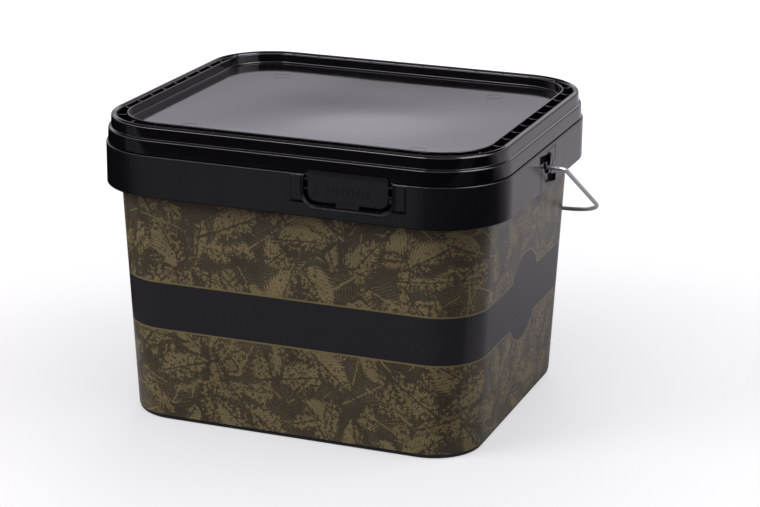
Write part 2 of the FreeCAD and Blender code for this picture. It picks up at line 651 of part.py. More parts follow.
def make_bail():
    """Bent wire bail with upset pin ends, hanging at the back with its grip against the wall."""
    body = new_body("bail_wire")
    bend_x = f"({COLLAR_LENGTH} / 2 + sizes.bend_stand)"
    corner_x = f"({COLLAR_LENGTH} / 2 + sizes.arm_stand - sizes.corner_radius)"
    pin, bend, corner = value(PIN_END), value(bend_x), value(corner_x)
    small, large, reach = value("sizes.bend_radius"), value("sizes.corner_radius"), value(BAIL_REACH)
    path = new_sketch(body, "path")
    path.addGeometry([
        line((-pin, 0), (-bend, 0)),
        arc((-bend, small), small, 180, 270),
        line((-bend - small, small), (-corner - large, reach - large)),
        arc((-corner, reach - large), large, 90, 180),
        line((-corner, reach), (corner, reach)),
        arc((corner, reach - large), large, 0, 90),
        line((corner + large, reach - large), (bend + small, small)),
        arc((bend, small), small, 270, 360),
        line((bend, 0), (pin, 0)),
    ])
    joins = [(0, 2, 1, 2), (1, 1, 2, 1), (2, 2, 3, 2), (3, 1, 4, 1),
             (4, 2, 5, 2), (5, 1, 6, 1), (6, 2, 7, 2), (7, 1, 8, 1)]
    for first, first_end, second, second_end in joins:
        path.addConstraint(Sketcher.Constraint("Tangent", first, first_end, second, second_end))
    for item in (0, 8):
        path.addConstraint(Sketcher.Constraint("PointOnObject", item, 1, -1))
        path.addConstraint(Sketcher.Constraint("PointOnObject", item, 2, -1))
    path.addConstraint(Sketcher.Constraint("Horizontal", 4))
    place(path, 0, 1, f"-{PIN_END}", None, "left_pin")
    place(path, 8, 2, PIN_END, None, "right_pin")
    place(path, 1, 3, f"-{bend_x}", None, "left_bend")
    place(path, 7, 3, bend_x, None, "right_bend")
    place(path, 3, 3, f"-{corner_x}", None, "left_corner")
    place(path, 5, 3, corner_x, None, "right_corner")
    place(path, 4, 1, None, BAIL_REACH, "cross")
    for item in (1, 7):
        bind(path, Sketcher.Constraint("Radius", item, small), f"bend_{item}", "sizes.bend_radius")
    for item in (3, 5):
        bind(path, Sketcher.Constraint("Radius", item, large), f"corner_{item}", "sizes.corner_radius")

    section = new_sketch(body, "section", f"-{PIN_END}", "YZ_Plane")
    add_circle(section, "sizes.wire / 2", ("0", "0"), "wire")
    wire = body.newObject("PartDesign::AdditivePipe", "bail_wire_run")
    wire.Profile = section
    wire.Spine = path
    doc.recompute()

    head = new_sketch(body, "head", f"-{PIN_END}", "YZ_Plane")
    add_circle(head, "sizes.head / 2", ("0", "0"), "head")
    head_pad = extrude(body, "Pad", head, "sizes.head_length")
    mirrored(body, "heads", [head_pad], "YZ_Plane")

    # The bail leans about the line through its two pins; the sheet gives how far.
    lean = FreeCAD.Rotation(FreeCAD.Vector(1, 0, 0), 1)
    body.Placement = FreeCAD.Placement(FreeCAD.Vector(), lean)
    body.setExpression("Placement.Base.z", PIVOT)
    body.setExpression("Placement.Rotation.Angle", f"-{REST_ANGLE}")
    return body


def make_grip():
    """Roller grip that turns on the bail's cross run: a waisted sleeve between two flanges."""
    body = new_body("bail_grip")
    end = "sizes.grip_length / 2"
    inner_end = f"({end} - sizes.grip_flange)"
    bore = "(sizes.wire / 2 + sizes.grip_clear)"
    flange = "(sizes.grip / 2)"
    waist = "(sizes.grip_waist / 2)"
    slope_end = f"({inner_end} - ({flange} - {waist}))"
    sketch = new_sketch(body, "profile")
    add_polygon(sketch, [
        (f"-{end}", bore), (end, bore), (end, flange), (inner_end, flange),
        (slope_end, waist), (f"-{slope_end}", waist), (f"-{inner_end}", flange), (f"-{end}", flange),
    ], "sleeve")
    sleeve = body.newObject("PartDesign::Revolution", "bail_grip_sleeve")
    sleeve.Profile = sketch
    sleeve.ReferenceAxis = (sketch, ["H_Axis"])
    sleeve.Angle = 360
    doc.recompute()
    body.setExpression("Placement.Base.y", f"{BAIL_REACH} * cos({REST_ANGLE})")
    body.setExpression("Placement.Base.z", f"{PIVOT} - {BAIL_REACH} * sin({REST_ANGLE})")
    return body


def check(bodies):
    """Stops with a message if any feature failed or a body isn't one valid solid."""
    for item in doc.Objects:
        if "Invalid" in item.State or "Error" in item.State:
            raise RuntimeError(f"{item.Name} failed: {item.State}")
    for body in bodies:
        if body.Shape.isNull() or not body.Shape.isValid() or len(body.Shape.Solids) != 1:
            raise RuntimeError(f"{body.Label} isn't one valid solid")


def main():
    bodies = [make_tub(), make_wrap(), make_lid(), make_flap(), make_bail(), make_grip()]
    doc.recompute()
    check(bodies)
    os.makedirs("parts", exist_ok=True)
    for body in bodies:
        body.Shape.exportStep(f"parts/{body.Label}.step")
        box = body.Shape.optimalBoundingBox(False)
        print(f"{body.Label}: volume {body.Shape.Volume / 1000:.1f} cm3, {len(body.Shape.Faces)} faces,"
              f" x {box.XMin:.1f} to {box.XMax:.1f}, y {box.YMin:.1f} to {box.YMax:.1f},"
              f" z {box.ZMin:.1f} to {box.ZMax:.1f}")
    angle = sizes.evalExpression(REST_ANGLE)
    print(f"bail: rest angle {angle}, reach {value(BAIL_REACH):.2f}, pivot height {value(PIVOT):.2f}")


main()
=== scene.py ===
# %% [markdown]
# # A bait bucket on a white table
# The bucket comes as a fixed frame that holds every piece at its real size: a tapered tub with a deep collar,
# a printed film round it, a lid, a tear-open flap and a wire bail with a roller grip.
# This lesson gives each piece its rounded edges, its small moulded marks and its finish, and moves nothing.

import math
from collections import namedtuple

import bmesh
import bpy
from mathutils import Matrix, Vector


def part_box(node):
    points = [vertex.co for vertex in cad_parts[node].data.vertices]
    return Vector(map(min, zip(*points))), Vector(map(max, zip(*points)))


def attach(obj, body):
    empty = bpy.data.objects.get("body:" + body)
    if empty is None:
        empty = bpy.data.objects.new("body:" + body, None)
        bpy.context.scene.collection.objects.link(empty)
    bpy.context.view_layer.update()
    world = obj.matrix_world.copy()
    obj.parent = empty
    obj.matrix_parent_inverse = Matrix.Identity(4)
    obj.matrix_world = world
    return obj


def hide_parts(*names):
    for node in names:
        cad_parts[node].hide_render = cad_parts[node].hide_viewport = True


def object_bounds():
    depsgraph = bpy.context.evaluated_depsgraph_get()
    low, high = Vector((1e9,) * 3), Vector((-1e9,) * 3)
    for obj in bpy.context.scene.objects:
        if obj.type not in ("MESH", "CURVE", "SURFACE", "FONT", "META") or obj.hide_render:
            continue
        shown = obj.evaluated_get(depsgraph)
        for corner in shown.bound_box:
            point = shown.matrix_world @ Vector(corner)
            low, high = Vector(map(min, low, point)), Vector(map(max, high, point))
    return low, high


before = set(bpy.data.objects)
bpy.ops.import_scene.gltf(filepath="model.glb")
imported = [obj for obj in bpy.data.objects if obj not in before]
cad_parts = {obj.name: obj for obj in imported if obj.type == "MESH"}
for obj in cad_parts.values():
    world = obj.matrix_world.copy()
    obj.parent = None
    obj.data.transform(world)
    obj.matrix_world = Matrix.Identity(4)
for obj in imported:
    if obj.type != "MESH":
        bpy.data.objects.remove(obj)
cad_low, cad_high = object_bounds()
scene = bpy.context.scene
scene.view_settings.view_transform = "Standard"
print("CAD box, metres:", tuple(cad_low), tuple(cad_high))

# %% [markdown]
# The camera stands to the right of the front and looks a little down on the lid.
# A long lens keeps the upright edges nearly parallel, as in a product picture.
# Its angles come from fitting the straight edges of the collar and the base to the picture.

# %% The camera
PHOTO_WIDTH_PX = 760
FOCAL_LENGTH_PX = 2290.7
SENSOR_WIDTH = 36.0
CAMERA_SPOT = Vector((0.5907, -1.5004, 0.6142))
AZIMUTH = math.radians(20.689)
ELEVATION = math.radians(17.557)
ROLL = math.radians(0.607)

camera_data = bpy.data.cameras.new("camera")
camera_data.sensor_width = SENSOR_WIDTH
camera_data.lens = FOCAL_LENGTH_PX * SENSOR_WIDTH / PHOTO_WIDTH_PX
camera = bpy.data.objects.new("camera", camera_data)
look = Matrix.Rotation(math.pi / 2 - ELEVATION, 4, "X") @ Matrix.Rotation(ROLL, 4, "Z")
camera.matrix_world = Matrix.Translation(CAMERA_SPOT) @ Matrix.Rotation(AZIMUTH, 4, "Z") @ look
scene.collection.objects.link(camera)
scene.camera = camera
print("lens, mm:", round(camera_data.lens, 1))

# %% [markdown]
# A finish is a Principled shader with a few nodes before it.
# This small class keeps the wiring short: node() adds a node, math() adds one sum and mix() one blend,
# and all of them take either a plain number or another node's output.

# %% A short way to wire nodes


class Finish:
    """A material with short calls to wire its nodes."""

    def __init__(self, name):
        self.material = bpy.data.materials.new(name)
        self.material.use_nodes = True
        self.tree = self.material.node_tree
        self.shader = self.tree.nodes["Principled BSDF"]

    def feed(self, socket, value):
        if isinstance(value, bpy.types.NodeSocket):
            self.tree.links.new(value, socket)
        else:
            socket.default_value = value

    def node(self, kind, inputs=None, **settings):
        item = self.tree.nodes.new("ShaderNode" + kind)
        for name, value in settings.items():
            setattr(item, name, value)
        for socket, value in (inputs or {}).items():
            self.feed(item.inputs[socket], value)
        return item

    def math(self, operation, *values, clamp=False):
        item = self.node("Math", operation=operation, use_clamp=clamp)
        for socket, value in zip(item.inputs, values):
            self.feed(socket, value)
        return item.outputs[0]

    def mix(self, share, first, second):
        """Blends two colours."""
        item = self.node("Mix", data_type="RGBA")
        for socket, value in zip((item.inputs[0], item.inputs[6], item.inputs[7]), (share, first, second)):
            self.feed(socket, value)
        return item.outputs[2]

    def vector(self, operation, first, second):
        item = self.node("VectorMath", {0: first, 1: second}, operation=operation)
        return item.outputs[0]

    def noise(self, place, scale, detail=3.0, roughness=0.5):
        """A noise value from 0 to 1."""
        inputs = {"Vector": place, "Scale": scale, "Detail": detail, "Roughness": roughness}
        return self.node("TexNoise", inputs).outputs["Fac"]

    def range(self, value, low, high, to_low, to_high):
        item = self.node("MapRange", {0: value, 1: low, 2: high, 3: to_low, 4: to_high})
        return item.outputs[0]

    def bump(self, height, distance, strength=1.0):
        item = self.node("Bump", {"Height": height, "Distance": distance, "Strength": strength})
        self.drive("Normal", item.outputs["Normal"])

    def object_place(self, scale=(1.0, 1.0, 1.0)):
        """Object coordinates in metres, stretched by a scale."""
        spot = self.node("TexCoord").outputs["Object"]
        return self.node("Mapping", {"Vector": spot, "Scale": scale}).outputs[0]

    def drive(self, name, value):
        """Feeds one of the shader's own sockets."""
        self.feed(self.shader.inputs[name], value)

    def set(self, **values):
        """Plain values on the shader's own sockets, such as Roughness=0.3."""
        for name, value in values.items():
            self.shader.inputs[name.replace("_", " ")].default_value = value


def grey(level):
    return (level, level, level, 1.0)


print("finish helper ready")

# %% [markdown]
# The table is a pale sheet. The camera sees it and the world as white, so the picture has a clean white
# ground, while the shadow under the bucket stays. Close to the bucket the sheet glows less: painted shade
# that deepens the shadow there and darkens what the glossy sides mirror of the sheet.

# %% The table
FLOOR_HALF = 4.0
FLOOR_COLOUR = (0.19, 0.184, 0.197, 1.0)
# The sheet's own glow, as the camera and a mirror see it, close to the bucket and out on the open table.
# The lower glow close to the bucket is painted shade.
FLOOR_LIFT = (0.52, 0.85)
FLOOR_MIRRORED = (0.02, 0.29)
LIFT_REACH = (0.15, 0.90)
MIRRORED_REACH = (0.20, 0.72)
MIRROR_TINT = (1.0, 0.95, 1.06, 1.0)


def ray_share(finish, *names):
    """1 for the named kinds of ray, 0 for the rest."""
    path = finish.node("LightPath").outputs
    total = path[names[0]]
    for name in names[1:]:
        total = finish.math("MAXIMUM", total, path[name])
    return total


def stage_sheet(name, low, high, height, material):
    """A flat sheet that isn't part of the bucket, between two corners."""
    bm = bmesh.new()
    bmesh.ops.create_grid(bm, x_segments=1, y_segments=1, size=0.5)
    bmesh.ops.scale(bm, vec=(high[0] - low[0], high[1] - low[1], 1.0), verts=bm.verts)
    middle = ((low[0] + high[0]) / 2, (low[1] + high[1]) / 2, height)
    bmesh.ops.translate(bm, vec=middle, verts=bm.verts)
    mesh = bpy.data.meshes.new(name)
    bm.to_mesh(mesh)
    bm.free()
    mesh.materials.append(material)
    sheet = bpy.data.objects.new(name, mesh)
    scene.collection.objects.link(sheet)
    return sheet


table = Finish("white_table")
table.set(Base_Color=FLOOR_COLOUR, Roughness=1.0, Specular_IOR_Level=0.0)
in_glossy = ray_share(table, "Is Glossy Ray")
table.drive("Emission Color", table.mix(in_glossy, grey(1.0), MIRROR_TINT))
seen = ray_share(table, "Is Camera Ray", "Is Transmission Ray")
out_on_table = table.node("VectorMath", {0: table.object_place()}, operation="LENGTH").outputs["Value"]
lift = table.math("MULTIPLY", in_glossy, table.range(out_on_table, *MIRRORED_REACH, *FLOOR_MIRRORED))
lift = table.math("MULTIPLY_ADD", seen, table.range(out_on_table, *LIFT_REACH, *FLOOR_LIFT), lift)
table.drive("Emission Strength", lift)
stage_sheet("floor", (-FLOOR_HALF, -FLOOR_HALF), (FLOOR_HALF, FLOOR_HALF), 0.0, table.material)
print("table laid,", 2 * FLOOR_HALF, "m across")

# %% [markdown]
# Black gloss shows only what it mirrors, so reflections see a studio: a pale back wall under a soft ceiling,
# a long box high in front that draws the thin lines of light on the lid, and a tall box at the right.
# Each is a brightness that depends on the direction alone, so a few steps of height and of the angle
# round the bucket describe it, and no lamp has to be placed for it.

# %% The studio that reflections see
WORLD_LIGHT = 0.55
# Steps of the sine of the height above the level, with the brightness there.
WALL_STEPS = ((0.12, 0.42), (0.20, 0.52), (0.25, 0.82), (0.29, 1.40), (0.38, 1.35), (0.46, 0.40),
              (0.56, 0.04), (0.80, 0.04), (0.94, 0.55))
FRONT_STEPS = ((0.31, 0.04), (0.36, 9.0), (0.53, 9.0), (0.59, 0.03))
RIGHT_BOX_STEPS = ((0.06, 0.0), (0.12, 0.22), (0.38, 0.22), (0.50, 1.0), (0.80, 1.0), (0.88, 0.0))
# Steps of the angle round the bucket, in radians to the right of the front, with the brightness there.
FRONT_ROUND = ((-0.95, 0.5), (-0.43, 0.9), (-0.34, 1.5), (-0.12, 1.5), (-0.04, 0.3), (0.9, 0.3))
RIGHT_BOX_ROUND = ((0.93, 0.0), (1.02, 1.0), (1.88, 1.0), (2.0, 0.0))
RIGHT_BOX_LIGHT = 7.5
FRONT_REACH = 0.45


class Studio(Finish):
    """The world's nodes, wired with the same short calls."""

    def __init__(self, name):
        world = bpy.data.worlds.new(name)
        world.use_nodes = True
        scene.world = world
        self.tree = world.node_tree
        self.shader = self.tree.nodes["Background"]

    def share(self, way):
        """How far a direction points along a way, from -1 to 1."""
        spot = self.node("TexCoord").outputs["Generated"]
        return self.node("VectorMath", {0: spot, 1: way}, operation="DOT_PRODUCT").outputs["Value"]


def stepped(finish, value, steps):
    """A brightness that runs from step to step as a value grows."""
    total = steps[0][1]
    for (low, light), (high, next_light) in zip(steps, steps[1:]):
        total = finish.math("ADD", total, finish.range(value, low, high, 0.0, next_light - light))
    return total


studio = Studio("studio")
rise = studio.share((0, 0, 1))
wall_light = stepped(studio, rise, WALL_STEPS)
front_light = stepped(studio, rise, FRONT_STEPS)
to_front = studio.range(studio.share((0, -1, 0)), 0.0, FRONT_REACH, 0.0, 1.0)
round_way = studio.math("ARCTAN2", studio.share((1, 0, 0)), studio.share((0, -1, 0)))
front_light = studio.math("MULTIPLY", front_light, stepped(studio, round_way, FRONT_ROUND))
box_height = stepped(studio, rise, RIGHT_BOX_STEPS)
right_box = studio.math("MULTIPLY", box_height, stepped(studio, round_way, RIGHT_BOX_ROUND))
in_mirror = ray_share(studio, "Is Glossy Ray")
in_view = ray_share(studio, "Is Camera Ray", "Is Transmission Ray")
front_change = studio.math("SUBTRACT", front_light, wall_light)
mirrored = studio.math("MULTIPLY_ADD", to_front, front_change, wall_light)
mirrored = studio.math("MULTIPLY_ADD", right_box, RIGHT_BOX_LIGHT, mirrored)
level = studio.math("MULTIPLY_ADD", in_mirror, studio.math("SUBTRACT", mirrored, WORLD_LIGHT), WORLD_LIGHT)
level = studio.math("MULTIPLY_ADD", in_view, studio.math("SUBTRACT", 1.0, level), level)
studio.drive("Color", studio.mix(in_mirror, grey(1.0), MIRROR_TINT))
studio.drive("Strength", level)
print("studio has", len(studio.tree.nodes), "nodes")

# %% [markdown]
# A dark grey card lies in front of the bucket and black ones at its sides, as a photographer would lay them
# to keep the front deep black. Only reflections see the cards. The grey one is brighter at the left, which
# gives the collar its soft change of tone.

# %% Cards on the table
CARD_HEIGHT = 0.001
CARD_EDGE = -0.12
# The black card glows a little towards its far right corner, between these distances in metres.
CARD_FADE = 0.40
FADE_ACROSS = (0.40, 0.50)
FADE_BACK = (0.15, 0.50)
# Brightness of the grey card across and outwards, in metres.
CARD_ACROSS = ((-0.9, 0.18), (-0.45, 0.29), (-0.22, 0.36), (0.13, 0.08), (0.4, 0.055))
CARD_OUTWARD = ((0.42, 0.0), (0.50, 0.9), (0.80, 1.0), (0.96, 1.5), (1.10, 0.05))


def card_finish(name):
    """A black sheet that shows only its own glow, with its places across and back in metres."""
    finish = Finish(name)
    finish.set(Base_Color=grey(0.0), Roughness=1.0, Specular_IOR_Level=0.0, Emission_Color=MIRROR_TINT)
    spot = finish.node("SeparateXYZ", {"Vector": finish.object_place()}).outputs
    return finish, spot[0], spot[1]


card_black, across, back = card_finish("card_black")
right_end = card_black.range(across, *FADE_ACROSS, 0.0, CARD_FADE)
back_end = card_black.range(back, *FADE_BACK, 0.0, 1.0)
card_black.drive("Emission Strength", card_black.math("MULTIPLY", right_end, back_end))

card_grey, across, back = card_finish("card_grey")
across_light = stepped(card_grey, across, CARD_ACROSS)
outward_light = stepped(card_grey, card_grey.math("MULTIPLY", back, -1.0), CARD_OUTWARD)
card_grey.drive("Emission Strength", card_grey.math("MULTIPLY", across_light, outward_light))

# Each card's finish and its low and high corner.
CARDS = {
    "front_card": (card_grey, (-FLOOR_HALF, -FLOOR_HALF), (FLOOR_HALF, CARD_EDGE)),
    "corner_card": (card_black, (0.46, CARD_EDGE), (FLOOR_HALF, 0.50)),
    "left_card": (card_black, (-FLOOR_HALF, CARD_EDGE), (-0.26, 1.4)),
}
for name, (shade, low, high) in CARDS.items():
    card = stage_sheet(name, low, high, CARD_HEIGHT, shade.material)
    card.visible_camera = False
    card.visible_diffuse = False
    card.visible_shadow = False
print("cards laid:", ", ".join(CARDS))

# %% [markdown]
# Four large fills, at the front left, overhead, at the right and at the back, light the print and the wire.
# They aren't mirrored, so black stays black: what the gloss shows comes from the studio alone.
# The level is plain: a colour renders about as it is written.

# %% Lamps
# Each lamp's place and size in metres, and its power in watts.
LAMPS = {
    "top_fill": ((0.2, -0.5, 1.9), (1.6, 0.6), 18.0),
    "back_fill": ((-0.5, 1.9, 1.4), (1.2, 1.2), 36.0),
    "side_fill": ((1.1, 0.3, 1.5), (1.0, 0.7), 18.0),
    "front_fill": ((-1.5, -1.5, 1.5), (1.2, 1.2), 60.0),
}
bucket_middle = (cad_low + cad_high) / 2
for name, (spot, size, power) in LAMPS.items():
    data = bpy.data.lights.new(name, "AREA")
    data.shape = "RECTANGLE"
    data.size, data.size_y = size
    data.energy = power
    lamp = bpy.data.objects.new(name, data)
    lamp.location = spot
    lamp.rotation_euler = (bucket_middle - Vector(spot)).to_track_quat("-Z", "Y").to_euler()
    lamp.visible_glossy = False
    scene.collection.objects.link(lamp)
print("lamps lit:", ", ".join(LAMPS))

# %% [markdown]
# Every large form here is a rounded rectangle that changes size on its way up: the wall, the collar and
# the lid's bands. So one rounded rectangle is made by bevelling the corners of a square, and its edge loop
# is extruded from ring to ring. A ring says how long, wide and round the outline is there, and how high it
# lies. Lengths are in millimetres until a piece is finished, where the mesh is scaled to metres.

# %% Sweeping a rounded rectangle
MM = 0.001
CORNER_STEPS = 22
SAME_SPOT = 0.0005

Ring = namedtuple("Ring", "half_x half_y corner height")


def held(value, limit):
    return max(-limit, min(limit, value))


def rounded_square(bm, ring, side_cuts):
    """A flat face with round corners; its straight sides are cut where a form needs points there."""
    bmesh.ops.create_grid(bm, x_segments=1, y_segments=1, size=1.0)
    bmesh.ops.scale(bm, vec=(ring.half_x, ring.half_y, 1.0), verts=bm.verts)
    bmesh.ops.bevel(bm, geom=list(bm.verts), offset=ring.corner, offset_type="OFFSET", segments=CORNER_STEPS,
                    profile=0.5, affect="VERTICES", material=-1)
    if side_cuts:
        sides = [edge for edge in bm.edges if edge.calc_length() > ring.corner]
        bmesh.ops.subdivide_edges(bm, edges=sides, cuts=side_cuts)
    return bm.faces[:][0]


def ring_spot(ring, bend):
    """Where a point of the outline lies on another ring."""
    share_x, share_y, normal = bend
    x = share_x * (ring.half_x - ring.corner) + normal.x * ring.corner
    y = share_y * (ring.half_y - ring.corner) + normal.y * ring.corner
    return Vector((x, y, ring.height))


def of_kind(parts, kind):
    """The points or the edges among the parts that an operator returns."""
    return [item for item in parts if isinstance(item, kind)]


def unique(items):
    """Each item once, in order."""
    return list(dict.fromkeys(items))


def sweep(bm, rings, side_cuts=0):
    """Extrudes the outline from ring to ring and returns the edges of each ring."""
    start = rings[0]
    face = rounded_square(bm, start, side_cuts)
    core_x, core_y = start.half_x - start.corner, start.half_y - start.corner
    number = bm.verts.layers.int.new("outline_number")
    bends = []
    for index, loop in enumerate(face.loops):
        spot = loop.vert.co
        core = Vector((held(spot.x, core_x), held(spot.y, core_y)))
        bends.append((core.x / core_x, core.y / core_y, (spot.xy - core).normalized()))
        loop.vert[number] = index
    loops = [list(face.edges)]
    bmesh.ops.delete(bm, geom=[face], context="FACES_ONLY")
    for vert in bm.verts:
        vert.co = ring_spot(start, bends[vert[number]])
    for ring in rings[1:]:
        grown = bmesh.ops.extrude_edge_only(bm, edges=loops[-1])["geom"]
        verts = set(of_kind(grown, bmesh.types.BMVert))
        for vert in verts:
            vert.co = ring_spot(ring, bends[vert[number]])
        loops.append([edge for edge in of_kind(grown, bmesh.types.BMEdge) if set(edge.verts) <= verts])
    return loops


print("outline has", 4 * (CORNER_STEPS + 1), "points without cuts in its sides")

# %% [markdown]
# A swept mesh becomes a piece in three steps, the same for all of them. Sharp rings are rounded with a bevel,
# the mesh is made an object in metres, and the object is dressed: smooth faces with crisp corners, a finish,
# and the body of the frame that it moves with.

# %% Rounding and dressing a piece
SMOOTH_LIMIT = math.radians(32)


def soften(bm, edges, radius, segments=4):
    """Rounds edges."""
    bmesh.ops.bevel(bm, geom=edges, offset=radius, offset_type="OFFSET", segments=segments, profile=0.5,
                    affect="EDGES", material=-1, clamp_overlap=True)


def to_object(bm, name):
    """Makes a bmesh in millimetres an object in metres."""
    bmesh.ops.recalc_face_normals(bm, faces=bm.faces)
    bmesh.ops.scale(bm, vec=(MM, MM, MM), verts=bm.verts)
    mesh = bpy.data.meshes.new(name)
    bm.to_mesh(mesh)
    bm.free()
    piece = bpy.data.objects.new(name, mesh)
    scene.collection.objects.link(piece)
    return piece


def dress(piece, body, finish, replaces=()):
    """Gives a piece smooth faces, crisp corners and its finish, and hands it to a body of the frame."""
    mesh = piece.data
    mesh.polygons.foreach_set("use_smooth", [True] * len(mesh.polygons))
    mesh.set_sharp_from_angle(angle=SMOOTH_LIMIT)
    if not mesh.materials:
        mesh.materials.append(finish.material)
    weighted = piece.modifiers.new("even_shading", "WEIGHTED_NORMAL")
    weighted.keep_sharp = True
    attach(piece, body)
    if replaces:
        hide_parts(*replaces)
    print(piece.name, "has", len(mesh.polygons), "faces")
    return piece


tub_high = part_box("tub")[1] / MM
lid_low, lid_high = (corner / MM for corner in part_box("lid"))
COLLAR_CORNER = 53.0


def inset(distance, height):
    """The collar's outline moved inwards, at a height."""
    return Ring(tub_high.x - distance, tub_high.y - distance, COLLAR_CORNER - distance, height)


print("collar, mm:", tub_high.x * 2, "by", tub_high.y * 2)

# %% [markdown]
# The lid is injection-moulded black plastic with a high gloss, and the tub is the same plastic from a
# duller, slightly drawn mould. Both are near black, so almost all that shows is reflection:
# the roughness and a very faint unevenness do the work, not the colour.

# %% Black plastics
LID_COLOUR = (0.0022, 0.0020, 0.0025, 1.0)
LID_ROUGHNESS = (0.055, 0.095)
HAZE_SCALE = 38.0
HAZE_SPREAD = (0.3, 0.75)
RIPPLE_SCALE = 1400.0
RIPPLE_BUMP = (0.0001, 0.02)
TUB_COLOUR = (0.0030, 0.0028, 0.0034, 1.0)
TUB_ROUGHNESS = (0.20, 0.26)
STREAK_SCALE = 140.0
STREAK_STRETCH = (1.0, 1.0, 0.03)
STREAK_SHARE = 0.75
GRAIN_SCALE = 1500.0
GRAIN_SHARE = 0.25
STREAK_BUMP = (0.0003, 0.09)
# A noise lies mostly between these two values.
NOISE_SPREAD = (0.3, 0.7)


def glossy_black():
    """Polished lid plastic: sharp reflections with a trace of haze."""
    finish = Finish("lid_black")
    finish.set(Base_Color=LID_COLOUR)
    haze = finish.noise(finish.object_place(), HAZE_SCALE, 4.0)
    finish.drive("Roughness", finish.range(haze, *HAZE_SPREAD, *LID_ROUGHNESS))
    finish.bump(finish.noise(finish.object_place(), RIPPLE_SCALE, 2.0), *RIPPLE_BUMP)
    return finish


def drawn_black():
    """Tub plastic: satin, with faint upright streaks left by drawing the part from its mould."""
    finish = Finish("tub_black")
    finish.set(Base_Color=TUB_COLOUR)
    streaks = finish.noise(finish.object_place(STREAK_STRETCH), STREAK_SCALE, 3.0)
    grain = finish.noise(finish.object_place(), GRAIN_SCALE, 2.0)
    blend = finish.math("MULTIPLY_ADD", grain, GRAIN_SHARE, finish.math("MULTIPLY", streaks, STREAK_SHARE))
    finish.drive("Roughness", finish.range(blend, *NOISE_SPREAD, *TUB_ROUGHNESS))
    finish.bump(blend, *STREAK_BUMP)
    return finish


lid_black = glossy_black()
tub_black = drawn_black()
print("black plastics:", lid_black.material.name, tub_black.material.name)

# %% [markdown]
# A large thin panel never comes flat out of its mould. It bows up by a millimetre or two, unevenly, and as it
# is glossy, that is what bends the reflections in it. The bow is a height for each place of the panel, so the
# panel itself and the marks on it can follow the same form.

# %% The lid's sizes and the bow of its panel
BAND_INSET = tub_high.x - lid_high.x
BAND_BOTTOM = lid_low.z
LID_TOP = lid_high.z
LID_WALL = 1.6
SHOULDER = 212.0
UPPER_INSET = 3.5
RIDGE_INNER = 8.4
GUTTER_INNER = 15.2
GUTTER_FLOOR = LID_TOP - 15.0
GUTTER_UNDER = GUTTER_FLOOR - 1.4
PANEL_INSET = 16.4
PANEL_TOP = LID_TOP - 7.0
PANEL_UNDER = PANEL_TOP - 1.6
PLUG_INSET = 7.1
RIDGE_UNDER = tub_high.z
UPPER_UNDER = 5.1
BAND_UNDER = BAND_INSET + LID_WALL
LID_DRAFT = 0.05
HOOK_INSET = 4.2
HOOK_LOW = 204.2
HOOK_HIGH = 206.2
PANEL_STEPS = 26
SIDE_CUTS = 15

BOW_HEIGHT = 0.5
DOME_FALL = 0.5
WAVE_HEIGHT = 0.4
WAVE_ACROSS = (5.2, 0.6)
WAVE_ALONG = (2.2, -0.5)
Swell = namedtuple("Swell", "height x y reach_x reach_y")
SWELLS = (Swell(0.9, 15, -12, 62, 45), Swell(0.55, 100, 38, 55, 50), Swell(0.45, 0, 72, 38, 40))


def panel_bow(x, y):
    """How far the thin panel bulges: a low dome, three swells and a slow wave, none at its edge."""
    across = x / (tub_high.x - PANEL_INSET)
    along = y / (tub_high.y - PANEL_INSET)
    hold = max(0.0, 1 - across**4) * max(0.0, 1 - along**4)
    swell = sum(item.height * math.exp(-((x - item.x) / item.reach_x)**2 - ((y - item.y) / item.reach_y)**2)
                for item in SWELLS)
    wave = math.sin(WAVE_ACROSS[0] * across + WAVE_ACROSS[1])
    wave *= math.cos(WAVE_ALONG[0] * along + WAVE_ALONG[1])
    return hold * (BOW_HEIGHT * (1 - DOME_FALL * (across**2 + along**2)) + swell + WAVE_HEIGHT * wave)


print("bow in the middle of the panel, mm:", round(panel_bow(0, 0), 2))

# %% [markdown]
# The lid is one moulding. From outside in: a lower band, a shoulder, a ridge that hides the tub's rim,
# a deep gutter, a thin inner ridge and a sunken panel. Underneath, the same walls repeat at their thickness.
# All of it is one sweep, from the middle of the underside, round the outside to the middle of the top.
# The sharp rings are rounded afterwards with a bevel, each with its own radius.

# %% The lid's shell
# Each row is a ring's inset and height, with the radius of its rounding.
lid_rows = [
    (PANEL_INSET, PANEL_UNDER, 0.0),
    (PANEL_INSET, GUTTER_UNDER, 0.4),
    (PLUG_INSET, GUTTER_UNDER, 0.4),
    (PLUG_INSET, RIDGE_UNDER, 0.0),
    (UPPER_UNDER, RIDGE_UNDER, 0.0),
    (UPPER_UNDER, SHOULDER - LID_WALL, 0.0),
    (BAND_UNDER, SHOULDER - LID_WALL, 0.0),
    (BAND_UNDER, HOOK_HIGH, 0.0),
    (HOOK_INSET, HOOK_HIGH, 0.3),
    (HOOK_INSET, HOOK_LOW, 0.3),
    (BAND_UNDER, HOOK_LOW, 0.0),
    (BAND_UNDER, BAND_BOTTOM, 0.25),
    (BAND_INSET, BAND_BOTTOM, 0.5),
    (BAND_INSET + LID_DRAFT * (SHOULDER - BAND_BOTTOM), SHOULDER, 1.3),
    (UPPER_INSET, SHOULDER, 0.9),
    (UPPER_INSET + LID_DRAFT * (LID_TOP - SHOULDER), LID_TOP, 2.0),
    (RIDGE_INNER, LID_TOP, 2.2),
    (RIDGE_INNER, GUTTER_FLOOR, 0.6),
    (GUTTER_INNER, GUTTER_FLOOR, 0.6),
    (GUTTER_INNER, LID_TOP, 0.5),
    (PANEL_INSET, LID_TOP, 0.5),
    (PANEL_INSET, PANEL_TOP, 1.2),
]
lid_rings = [inset(distance, height) for distance, height, _ in lid_rows]
edge_ring = lid_rings[-1]
